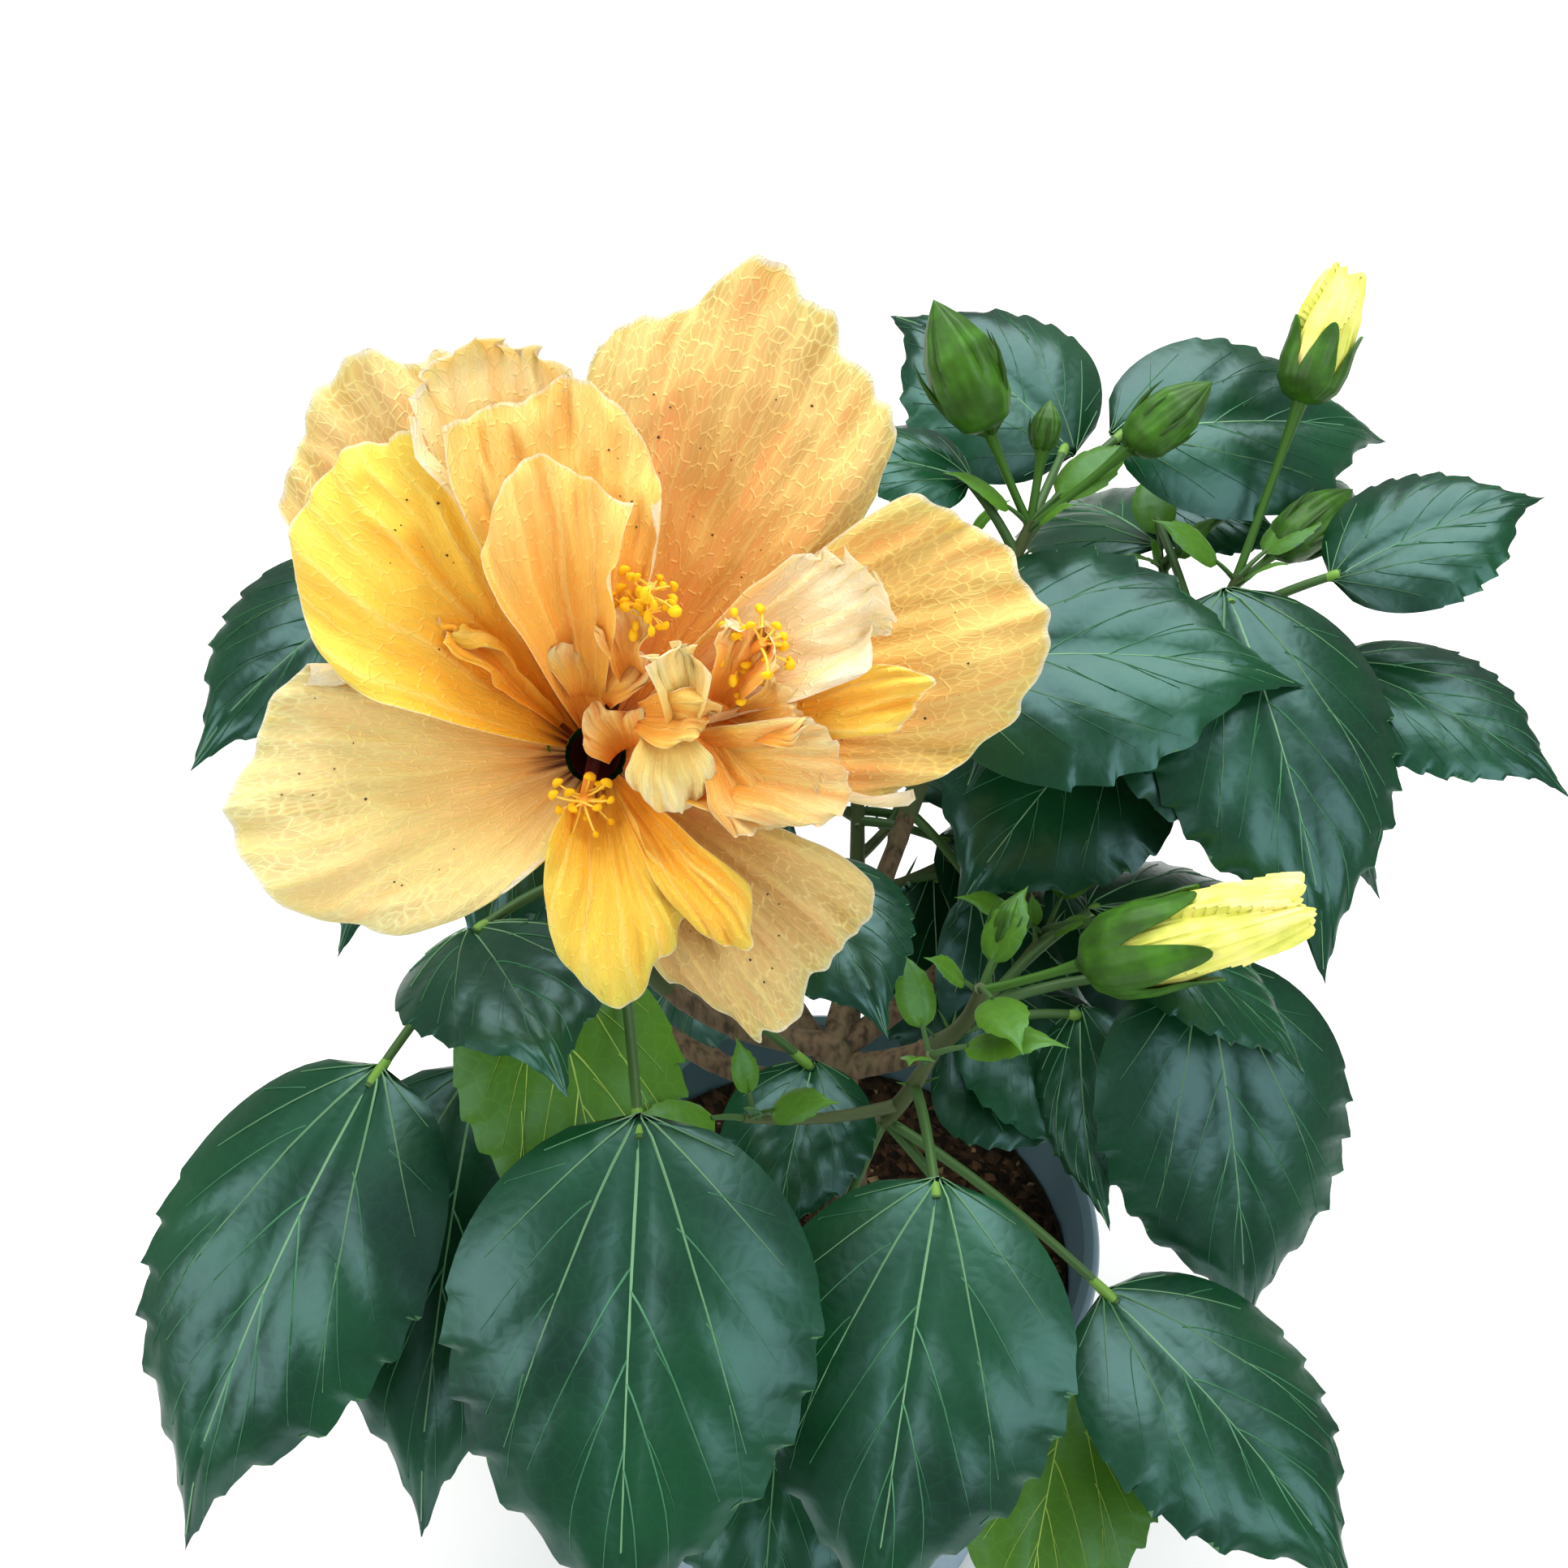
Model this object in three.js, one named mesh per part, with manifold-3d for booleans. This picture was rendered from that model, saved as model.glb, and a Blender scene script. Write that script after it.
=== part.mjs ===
// A young double-flowered hibiscus shrub in a round pot, with one bloom open.
// Millimetres, +Z up. The origin is the centre of the pot's flat underside, and the bloom faces -Y.
import * as THREE from "three";
import { mergeVertices } from "three/addons/utils/BufferGeometryUtils.js";
import Module from "manifold-3d";

const wasm = await Module();
wasm.setup();

// Driving dimensions
const GAP = 0.3;
const SLIVER = 0.03;
const POT = { height: 116, rimRadius: 65, rimWidth: 4, collar: 18, footRadius: 46, wall: 2.2, floor: 3, sides: 36 };
const SOIL = { top: 104, bump: 1.4, patchRadius: 11, sides: 30 };
const TRUNK = { foot: [6, -1], lean: [2, 10], fork: 169, footRadius: 5.6, forkRadius: 4.3, flare: 4.2, sides: 10 };
const BOUGH = { radius: 3.1, tipRadius: 2.1, sides: 7, steps: 6 };
const STEM = { radius: 2.1, tipRadius: 1.3, sides: 6, steps: 6 };
const TWIG = {
  radius: 1.4,
  tipRadius: 0.9,
  sides: 5,
  steps: 3,
  from: [0.12, 0.7],
  length: [24, 38],
  lift: [0, 35],
  sag: 0.12,
};
const STALK = { radius: 1.2, tipRadius: 0.95, sides: 3, steps: 3, bow: 0.12 };
const LEAF = { arch: 0.07, fold: 0.3, curl: 0.42, thickness: 0.013, stations: [0.07, 0.25, 0.5, 0.77] };
const SEEDED_LEAF = { stalk: [18, 38], lift: [5, 45], droop: [15, 48], length: [56, 80], slimness: 0.62 };
const BUD_SIDES = 6;
const PETAL = { start: 5, thickness: 1.3, stations: 6, columns: 8 };

// The bloom's eye, the way it faces, and the green cup and stalk behind it
const BLOOM = {
  eye: [-42, -18, 277],
  heading: 5,
  lift: 41,
  throatRadius: 7,
  cupRadius: 8,
  cupDepth: 26,
  stalkRadius: 1.7,
};

// A leaf that would touch something is turned by these steps, in order, until it is clear.
const NUDGES = [0, 1, -1, 2, -2, 3, -3, 4, -4, 5, -5];
const NUDGE = { heading: 5, aim: 4, droop: 4, twig: 14 };
const SEEDED_TRIES = 5;
const GOLDEN_ANGLE = 137.5;

// The branches, round the trunk. Headings are degrees round the plant: 0 is -Y, 90 is +X, 180 is +Y.
// from: how far up the trunk it forks off. control, end: its curve. split: where the bough ends.
// leaves that show plainly: at, heading, stalk, lift, aim, droop, length, width, roll.
// buds: at, heading, stalk, lift, length, width.
// twigs: how many grow by the seeded rule, the heading they face, their spread, and leaves on each.
const BRANCHES = {
  bloom: {
    from: 0.98,
    control: [-44, -6, 190],
    end: [-48, 6, 236],
    split: 0.5,
    reach: 92,
    seed: 11,
    twigs: { count: 1, facing: 215, spread: 0, leaves: 3 },
    leaves: [
      [0.45, 8, 60, 13, 358, 39, 95, 66, 0],
      [0.8, 314, 31, 11, 26, -10, 52, 40, 0],
      [0.3, 93, 41, 37, 27, 15, 42, 34, 0],
      [0.3, 84, 46, -34, 352, 18, 44, 32, 0],
    ],
    buds: [],
  },
  left: {
    from: 0.82,
    control: [-52, 4, 160],
    end: [-74, 32, 246],
    split: 0.5,
    reach: 88,
    seed: 23,
    twigs: { count: 1, facing: 225, spread: 0, leaves: 4 },
    leaves: [
      [0.5, 328, 53, -7, 333, 35, 99, 60, 0],
      [0.2, 322, 34, -5, 353, 35, 94, 62, 0],
      [0.1, 345, 24, -4, 300, 12, 50, 36, 0],
      [0.8, 216, 48, 55, 316, 16, 59, 44, -10],
    ],
    buds: [],
  },
  front: {
    from: 0.72,
    control: [10, -22, 168],
    end: [20, -26, 206],
    split: 0.5,
    reach: 100,
    seed: 37,
    twigs: { count: 1, facing: 300, spread: 0, leaves: 2 },
    leaves: [
      [0.7, 8, 26, 8, 348, 34, 86, 60, 0],
      [0.1, 53, 56, -14, 41, 19, 74, 50, 0],
      [0.1, 49, 66, -38, 345, 25, 58, 44, 0],
      [0.1, 330, 55, -40, 355, 29, 61, 43, 0],
    ],
    buds: [],
  },
  right: {
    from: 0.9,
    control: [30, -2, 176],
    end: [30, -14, 212],
    split: 0.5,
    reach: 88,
    seed: 41,
    twigs: { count: 1, facing: 140, spread: 0, leaves: 3 },
    leaves: [
      [0.7, 94, 50, 3, 2, 41, 81, 55, 0],
      [0.3, 105, 28, 1, 5, 35, 47, 24, 40],
      [0.3, 150, 30, -25, 20, 10, 50, 36, 0],
      [0.1, 182, 24, -46, 63, 27, 39, 36, 10],
    ],
    buds: [
      [0.98, 90, 20, 22, 46, 18],
      [0.9, 150, 10, 40, 13, 7],
    ],
  },
  far_right: {
    from: 0.96,
    control: [56, 44, 176],
    end: [90, 72, 250],
    split: 0.5,
    reach: 92,
    seed: 53,
    twigs: { count: 2, facing: 165, spread: 50, leaves: 3 },
    leaves: [
      [0.9, 347, 13, 62, 14, 33, 86, 56, 0],
      [0.7, 84, 32, 12, 58, 11, 57, 34, 12],
      [0.85, 98, 28, 34, 118, -4, 50, 36, 12],
      [0.8, 188, 54, 4, 64, 6, 40, 27, 10],
    ],
    buds: [
      [0.98, 125, 12, 20, 24, 13],
      [0.97, 150, 42, 50, 30, 14],
    ],
  },
  back: {
    from: 0.99,
    control: [14, 46, 196],
    end: [44, 73, 264],
    split: 0.5,
    reach: 90,
    seed: 67,
    twigs: { count: 2, facing: 175, spread: 50, leaves: 3 },
    leaves: [
      [0.5, 323, 24, 40, 86, -1, 80, 58, 18],
      [0.3, 89, 40, 8, 310, 24, 59, 54, -10],
      [0.9, 142, 38, 20, 106, 10, 74, 46, 28],
      [0.85, 155, 42, 7, 229, -18, 57, 50, -14],
      [0.9, 233, 19, 49, 264, -7, 31, 24, -14],
    ],
    buds: [
      [0.99, 228, 22, 56, 30, 17],
      [0.99, 108, 26, 36, 22, 13],
      [0.99, 165, 16, 55, 11, 7],
    ],
  },
  back_left: {
    from: 0.88,
    control: [-22, 40, 172],
    end: [-34, 70, 230],
    split: 0.5,
    reach: 78,
    seed: 79,
    twigs: { count: 4, facing: 215, spread: 150, leaves: 4 },
    leaves: [],
    buds: [],
  },
  rear: {
    from: 0.78,
    control: [10, 50, 158],
    end: [8, 84, 202],
    split: 0.5,
    reach: 84,
    seed: 83,
    twigs: { count: 4, facing: 175, spread: 160, leaves: 4 },
    leaves: [],
    buds: [],
  },
};

// The petals fan out from the eye. Seen from in front, aim is in degrees from the right, anticlockwise,
// spread is half the angle that one takes up, and left and right are its reach there to its full reach.
// aim, spread, reach, left, right, height of its root, rise, droop of its rim, cup, ruffle, ripples, phase
const OUTER_PETALS = {
  upper_right: [62, 28, 86, 0.78, 0.72, -5, 24, 10, 0.1, 2.2, 7, 0.4],
  right: [12, 28, 80, 0.84, 0.52, -3, 24, 8, 0.1, 2.4, 6, 1.9],
  bottom: [-52, 28, 56, 0.92, 0.7, -4, 21, 9, 0.1, 2.0, 6, 3.1],
  lower_left: [189, 42, 60, 0.5, 0.72, -3, 22, 4, 0.1, 2.4, 6, 0.9],
  upper_left: [120, 25, 79, 0.8, 0.9, -7, 14, 8, 0.1, 2.2, 6, 2.6],
};
const INNER_PETALS = {
  broad_left: [130, 23, 63, 0.6, 0.9, 0, 30, 5, 0.3, 2.0, 5, 1.2],
  rolled_top: [101, 14, 70, 0.92, 0.85, 1, 27, 0, 0.3, 1.8, 5, 0.2],
  top: [90, 25, 59, 0.94, 0.62, 2, 33, 4, 0.25, 2.0, 5, 2.2],
  cupped: [96, 21, 45, 0.78, 0.8, 5, 38, 2, 0.5, 1.4, 4, 0.6],
  pale_right: [28, 16, 56, 0.78, 0.78, 2, 31, 3, 0.35, 1.8, 5, 1.4],
  narrow_right: [8, 8, 56, 0.85, 0.9, 2, 27, 6, 0.3, 1.0, 3, 0.1],
  lower_right: [-10, 20, 42, 0.85, 0.62, 3, 30, 5, 0.35, 1.6, 4, 2.8],
  narrow_bottom: [-54, 12, 40, 0.8, 0.75, 3.6, 26, 8, 0.3, 1.0, 3, 1.7],
  drooping: [-87, 26, 41, 0.68, 0.6, 3, 24, 12, 0.35, 1.6, 4, 0.5],
};
// The tufts of stamens: aim, tilt towards the front, length, radius
const STAMENS = {
  upper: [67, 49, 46, 2.3],
  side: [30, 46, 50, 2.3],
  lower: [255, 62, 18, 2.0],
};

// Numbers from 0 to 1 in a fixed order, from a whole-number seed.
function seeded(seed) {
  let state = seed * 7919;
  return (low = 0, high = 1) => {
    state = (state * 16807) % 2147483647;
    return low + ((high - low) * state) / 2147483647;
  };
}

const vector = (p) => new THREE.Vector3(...p);
const mix = (a, b, t) => a + (b - a) * t;

// A unit vector from a heading round the plant and a lift above the level, in degrees.
function direction(heading, lift) {
  const h = THREE.MathUtils.degToRad(heading);
  const e = THREE.MathUtils.degToRad(lift);
  return new THREE.Vector3(Math.sin(h) * Math.cos(e), -Math.cos(h) * Math.cos(e), Math.sin(e));
}

// A closed geometry as a solid, with its shared vertices merged and its faces turned outwards.
function solidFrom(geometry) {
  geometry.deleteAttribute("normal");
  geometry.deleteAttribute("uv");
  const merged = mergeVertices(geometry, 1e-4);
  const faces = [];
  for (let i = 0; i < merged.index.count; i += 3) {
    const [a, b, c] = [0, 1, 2].map((k) => merged.index.getX(i + k));
    if (a !== b && b !== c && c !== a) faces.push(a, b, c);
  }
  const build = () =>
    new wasm.Manifold(
      new wasm.Mesh({
        numProp: 3,
        vertProperties: new Float32Array(merged.attributes.position.array),
        triVerts: new Uint32Array(faces),
      }),
    );
  const made = build();
  if (made.volume() > 0) return made;
  faces.reverse();
  return build();
}

// A closed solid through rings of points. A first or last ring of one point closes in that point.
// Diagonals run the same way on both layers of a thin blade, so its layers never cross.
function loft(rings) {
  const points = rings.flat();
  const starts = [];
  rings.reduce((sum, ring) => (starts.push(sum), sum + ring.length), 0);
  const faces = [...cap(starts[0], rings[0].length).reverse(), ...cap(starts.at(-1), rings.at(-1).length)];
  for (let r = 1; r < rings.length; r++) {
    const [a, b] = [starts[r - 1], starts[r]];
    const [na, nb] = [rings[r - 1].length, rings[r].length];
    const n = Math.max(na, nb);
    for (let i = 0; i < n; i++) {
      const j = (i + 1) % n;
      if (nb === 1) faces.push(a + i, a + j, b);
      else if (na === 1) faces.push(a, b + j, b + i);
      else if (2 * i < n) faces.push(a + i, a + j, b + j, a + i, b + j, b + i);
      else faces.push(a + i, a + j, b + i, a + j, b + j, b + i);
    }
  }
  const geometry = new THREE.BufferGeometry().setFromPoints(points);
  geometry.setIndex(faces);
  return solidFrom(geometry);
}

// The faces that close a ring, as a ladder between its two halves, so that a thin curved rim stays thin.
function cap(start, size) {
  const faces = [];
  for (let low = 0, high = size - 1; high - low > 1; ) {
    faces.push(start + low, start + low + 1, start + high);
    low += 1;
    if (high - low > 1) {
      faces.push(start + low, start + high - 1, start + high);
      high -= 1;
    }
  }
  return faces;
}

// A tapering limb of round section along a curve, from one fraction of it to another.
function limb(curve, size, start = 0, stop = 1, extra = 0) {
  const rings = [];
  let across = null;
  for (let k = 0; k <= size.steps; k++) {
    const f = k / size.steps;
    const t = mix(start, stop, f);
    const along = curve.getTangent(t);
    across ??= new THREE.Vector3(0.31, 0.87, 0.39).cross(along);
    across.addScaledVector(along, -across.dot(along)).normalize();
    const side = along.clone().cross(across);
    const centre = curve.getPoint(t);
    const radius = mix(size.radius, size.tipRadius, f) + extra;
    rings.push(
      Array.from({ length: size.sides }, (_, i) => {
        const a = (2 * Math.PI * i) / size.sides;
        return centre.clone().addScaledVector(across, radius * Math.cos(a)).addScaledVector(side, radius * Math.sin(a));
      }),
    );
  }
  return loft(rings);
}

// The largest body of a solid: slivers are smoothed out, loose scraps dropped, sealed hollows filled.
function whole(solid) {
  const bodies = solid.simplify(SLIVER).decompose();
  return bodies.reduce((best, next) => (next.volume() > best.volume() ? next : best));
}

// What already stands in a solid's way, told apart from the solids that it grows from.
const standing = [];

function touches(solid, own = []) {
  const a = solid.boundingBox();
  return standing.some(({ body, box }) => {
    if (own.includes(body)) return false;
    if ([0, 1, 2].some((k) => a.min[k] > box.max[k] || a.max[k] < box.min[k])) return false;
    return solid.intersect(body).volume() > 0;
  });
}

function stand(body) {
  standing.push({ body, box: body.boundingBox() });
  return body;
}

// The pot: a lathe profile of its tapered wall and its thicker collar.
function pot() {
  const { height, rimRadius, rimWidth, collar, footRadius, wall, floor, sides } = POT;
  const under = height - collar;
  const collarFoot = rimRadius - 5;
  const profile = [
    [0, 0],
    [footRadius - 1.5, 0],
    [footRadius, 1.5],
    [collarFoot, under],
    [rimRadius - 1, under],
    [rimRadius - 0.4, under + 1],
    [rimRadius, height - 2],
    [rimRadius - 0.8, height - 0.5],
    [rimRadius - 2, height],
    [rimRadius - rimWidth + 0.6, height - 0.5],
    [rimRadius - rimWidth, height - 2],
    [footRadius - wall, floor],
    [0, floor],
  ].map(([x, y]) => new THREE.Vector2(x, y));
  return solidFrom(new THREE.LatheGeometry(profile, sides).rotateX(Math.PI / 2));
}

// The pot's inner radius at a height, from its floor to just under its rim.
function innerRadius(z) {
  const { height, rimRadius, rimWidth, footRadius, wall, floor } = POT;
  return mix(footRadius - wall, rimRadius - rimWidth, (z - floor) / (height - 2 - floor));
}

// The soil: it fills the pot to a little below the rim, uneven but for a level patch at the trunk.
function soil() {
  const random = seeded(5);
  const ring = (radius, height, bump) =>
    Array.from({ length: SOIL.sides }, (_, i) => {
      const a = (2 * Math.PI * i) / SOIL.sides;
      return new THREE.Vector3(radius * Math.cos(a), radius * Math.sin(a), height + random(-bump, bump));
    });
  const low = POT.floor + GAP;
  const edge = SOIL.top - 2.5;
  const clear = GAP + 0.25;
  const [x, y] = TRUNK.foot;
  const patch = ring(SOIL.patchRadius, SOIL.top, 0).map((p) => p.setX(p.x + x).setY(p.y + y));
  return loft([
    [new THREE.Vector3(0, 0, low)],
    ring(innerRadius(low) - clear, low, 0),
    ring(innerRadius(edge) - clear, edge, 0),
    ring(0.84 * innerRadius(edge), SOIL.top - 1, SOIL.bump),
    ring(0.58 * innerRadius(edge), SOIL.top - 0.5, SOIL.bump),
    patch,
    [new THREE.Vector3(x, y, SOIL.top)],
  ]);
}

// The trunk's line: upright at the flat cut on the soil, then leaning to its fork.
const TRUNK_FOOT = SOIL.top + GAP;
const trunkLine = new THREE.QuadraticBezierCurve3(
  vector([...TRUNK.foot, TRUNK_FOOT]),
  vector([...TRUNK.foot, mix(TRUNK_FOOT, TRUNK.fork, 0.45)]),
  vector([...TRUNK.lean, TRUNK.fork]),
);

// The trunk, with low root ridges that fade upwards and a rounded top in the fork.
function trunk(extra = 0) {
  const stations = [0, 0.03, 0.08, 0.16, 0.3, 0.45, 0.6, 0.75, 0.9, 1];
  const across = new THREE.Vector3(1, 0, 0);
  const rings = stations.map((t) => {
    const along = trunkLine.getTangent(t);
    across.addScaledVector(along, -across.dot(along)).normalize();
    const side = along.clone().cross(across);
    const centre = trunkLine.getPoint(t);
    return Array.from({ length: TRUNK.sides }, (_, i) => {
      const a = (2 * Math.PI * i) / TRUNK.sides;
      const flare = TRUNK.flare * Math.exp(-9 * t) * (0.7 + 0.3 * Math.cos(5 * a));
      const radius = mix(TRUNK.footRadius, TRUNK.forkRadius, t) + flare + extra;
      return centre.clone().addScaledVector(across, radius * Math.cos(a)).addScaledVector(side, radius * Math.sin(a));
    });
  });
  const top = trunkLine.getPoint(1).addScaledVector(trunkLine.getTangent(1), 0.5 * TRUNK.forkRadius + extra);
  return loft([...rings, [top]]);
}

function branchLine(branch) {
  return new THREE.QuadraticBezierCurve3(trunkLine.getPoint(branch.from), vector(branch.control), vector(branch.end));
}

// A branch's twig stem starts just past its bough's tip, on the same curve.
function stemStart(branch) {
  return branch.split + GAP / branchLine(branch).getLength();
}

// The stalk's curve, from the middle of what carries it into the foot of its blade.
function stalkLine(leaf) {
  const middle = leaf.root.clone().lerp(leaf.base, 0.5);
  middle.z += STALK.bow * leaf.stalk;
  return new THREE.QuadraticBezierCurve3(leaf.root, middle, bladePoint(leaf, 0.05, 0));
}

// Half of a blade's breadth along it: a broad round foot, widest at two fifths, and a drawn-out tip.
function outline(along) {
  return Math.sin(Math.PI * along ** 0.7) ** (0.7 + 0.45 * along);
}

// A point of a blade's middle layer: along from 0 at its foot to 1 at its tip, across from -1 to 1.
function bladePoint(leaf, along, across) {
  const half = 0.5 * leaf.width * outline(along);
  const arch = leaf.length * LEAF.arch * 4 * along * (1 - along);
  const trough = half * (LEAF.fold * Math.abs(across) - LEAF.curl * across * across);
  return leaf.base
    .clone()
    .addScaledVector(leaf.forward, leaf.length * along)
    .addScaledVector(leaf.side, half * across)
    .addScaledVector(leaf.up, arch + trough);
}

function blade(leaf, extra = 0) {
  const thick = LEAF.thickness * leaf.length + extra;
  const layer = (along, across, sign) =>
    bladePoint(leaf, along, across).addScaledVector(leaf.up, 0.5 * sign * thick * (1 - across * across) + 0.001 * sign);
  const rings = LEAF.stations.map((along) => [
    bladePoint(leaf, along, -1),
    ...[-0.5, 0, 0.5].map((across) => layer(along, across, 1)),
    bladePoint(leaf, along, 1),
    ...[0.5, 0, -0.5].map((across) => layer(along, across, -1)),
  ]);
  return loft([[bladePoint(leaf, 0, 0)], ...rings, [bladePoint(leaf, 1, 0)]]);
}

// A leaf's place from its numbers, turned by a nudge.
function leafFrom(root, numbers, nudge) {
  const [heading, stalk, lift, aim, droop, length, width, roll = 0] = numbers;
  const forward = direction(aim + NUDGE.aim * nudge, -(droop + NUDGE.droop * nudge));
  const level = direction(aim + NUDGE.aim * nudge + 90, 0);
  const upright = forward.clone().cross(level);
  const r = THREE.MathUtils.degToRad(roll);
  const side = level.multiplyScalar(Math.cos(r)).addScaledVector(upright, Math.sin(r));
  const base = root.clone().addScaledVector(direction(heading + NUDGE.heading * nudge, lift), stalk);
  return { root, base, stalk, length, width, forward, side, up: forward.clone().cross(side) };
}

// A leaf that keeps clear of everything but its own stem, or nothing where no nudge helps.
function clearLeaf(root, numbers, own, tries, space) {
  for (const nudge of NUDGES.slice(0, tries)) {
    const leaf = leafFrom(root, numbers, nudge);
    const middle = bladePoint(leaf, 0.5, 0);
    if (space && middle.distanceTo(space.centre) > space.radius) continue;
    if (touches(blade(leaf, 2 * GAP))) continue;
    if (touches(limb(stalkLine(leaf), STALK, 0, 0.9, GAP), own)) continue;
    const body = stand(blade(leaf));
    const stalkBody = stand(limb(stalkLine(leaf), STALK));
    return [body, stalkBody];
  }
  return [];
}

// A bud or an opening flower on its own stalk: a lathe-like loft along its axis.
function bud(root, numbers) {
  const [heading, stalk, lift, length, width] = numbers;
  const axis = direction(heading, lift);
  const base = root.clone().addScaledVector(axis, stalk);
  const line = new THREE.LineCurve3(base, base.clone().addScaledVector(axis, length));
  const across = direction(heading + 90, 0);
  const side = axis.clone().cross(across);
  const profile = [[0, 0.4], [0.12, 0.85], [0.35, 1], [0.62, 0.9], [0.86, 0.5]];
  const rings = profile.map(([t, share]) => {
    const centre = line.getPoint(t);
    const radius = 0.5 * width * share;
    return Array.from({ length: BUD_SIDES }, (_, i) => {
      const a = (2 * Math.PI * i) / BUD_SIDES;
      return centre.clone().addScaledVector(across, radius * Math.cos(a)).addScaledVector(side, radius * Math.sin(a));
    });
  });
  const pedicel = new THREE.LineCurve3(root, line.getPoint(0.1));
  return [loft([...rings, [line.getPoint(1)]]), limb(pedicel, { ...STALK, sides: 4, steps: 1 })];
}

// A side twig and its leaves, by the branch's seeded rule. It is turned until it is clear, as a leaf is.
function sideTwig(branch, stemLine, stemBody, k, random, space) {
  const { count, facing, spread, leaves } = branch.twigs;
  const { stalk, lift, droop, length, slimness } = SEEDED_LEAF;
  const share = count > 1 ? k / (count - 1) : 0.5;
  const root = stemLine.getPoint(mix(stemStart(branch), 1, mix(...TWIG.from, share)));
  const heading = facing + spread * (share - 0.5) + random(-12, 12);
  const long = random(...TWIG.length);
  const rise = random(...TWIG.lift);
  const lines = NUDGES.slice(0, SEEDED_TRIES).map((nudge) => {
    const tip = root.clone().addScaledVector(direction(heading + NUDGE.twig * nudge, rise), long);
    const middle = root.clone().lerp(tip, 0.5);
    middle.z -= TWIG.sag * long;
    return new THREE.QuadraticBezierCurve3(root, middle, tip);
  });
  const line = lines.find((one) => !touches(limb(one, TWIG, 0.3, 1, GAP), [stemBody]));
  const grown = line ? [stand(limb(line, TWIG))] : [];
  for (let j = 0; j < leaves; j++) {
    const turn = heading + GOLDEN_ANGLE * j + random(-15, 15);
    const size = random(...length) * mix(1, 0.8, j / leaves);
    const numbers = [
      turn,
      random(...stalk),
      random(...lift),
      turn + random(-25, 25),
      random(...droop),
      size,
      size * slimness,
      random(-14, 14),
    ];
    if (line) grown.push(...clearLeaf(line.getPoint(mix(0.4, 0.98, j / (leaves - 1))), numbers, grown, SEEDED_TRIES, space));
  }
  return grown;
}

// A mass of foliage: its stem, the leaves and buds that show plainly, then the seeded twigs.
function foliage(branch, stemBody) {
  const line = branchLine(branch);
  const start = stemStart(branch);
  const onStem = (at) => line.getPoint(mix(start, 0.995, at));
  const space = { centre: onStem(0.5), radius: branch.reach };
  const pieces = [stemBody];
  for (const [at, ...numbers] of branch.buds) {
    const made = bud(onStem(at), numbers);
    made.forEach(stand);
    pieces.push(...made);
  }
  for (const [at, ...numbers] of branch.leaves)
    pieces.push(...clearLeaf(onStem(at), numbers, pieces, NUDGES.length, null));
  return { line, space, pieces };
}

// The bloom's own frame: right and up as seen from in front, and out along its axis.
const bloomOut = direction(BLOOM.heading, BLOOM.lift);
const bloomRight = direction(BLOOM.heading + 90, 0);
const bloomUp = bloomOut.clone().cross(bloomRight);

function bloomPoint(right, up, out) {
  return vector(BLOOM.eye)
    .addScaledVector(bloomRight, right)
    .addScaledVector(bloomUp, up)
    .addScaledVector(bloomOut, out);
}

// A point of a petal's middle layer: along from 0 at its root to 1 at its rim, across from -1 to 1.
function petalPoint(petal, along, across, lift = 0) {
  const [aim, spread, length, left, right, root, rise, droop, cup, ruffle, ripples, phase] = petal;
  const angle = THREE.MathUtils.degToRad(aim + spread * across);
  const rim = 1 - (1 - (across > 0 ? left : right)) * across ** 2 + 0.015 * Math.sin(ripples * across + phase);
  const reach = PETAL.start + (length - PETAL.start) * along * rim;
  const half = reach * Math.sin(THREE.MathUtils.degToRad(spread));
  const height =
    root +
    rise * (1 - (1 - along) ** 2) -
    droop * along ** 3 +
    cup * half * across ** 2 +
    ruffle * along ** 2 * Math.sin(ripples * across + phase);
  return bloomPoint(reach * Math.cos(angle), reach * Math.sin(angle), height + lift);
}

function petalSolid(petal) {
  const { thickness, stations, columns } = PETAL;
  const places = Array.from({ length: columns + 1 }, (_, i) => (2 * i) / columns - 1);
  const inner = places.slice(1, -1);
  const lens = (across) => 0.5 * thickness * (1 - 0.8 * across ** 2);
  const rings = Array.from({ length: stations }, (_, k) => {
    const along = mix(0.02, 1, k / (stations - 1));
    return [
      ...places.map((across) => petalPoint(petal, along, across, Math.abs(across) < 1 ? lens(across) : 0)),
      ...inner.toReversed().map((across) => petalPoint(petal, along, across, -lens(across))),
    ];
  });
  return loft(rings);
}

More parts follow.
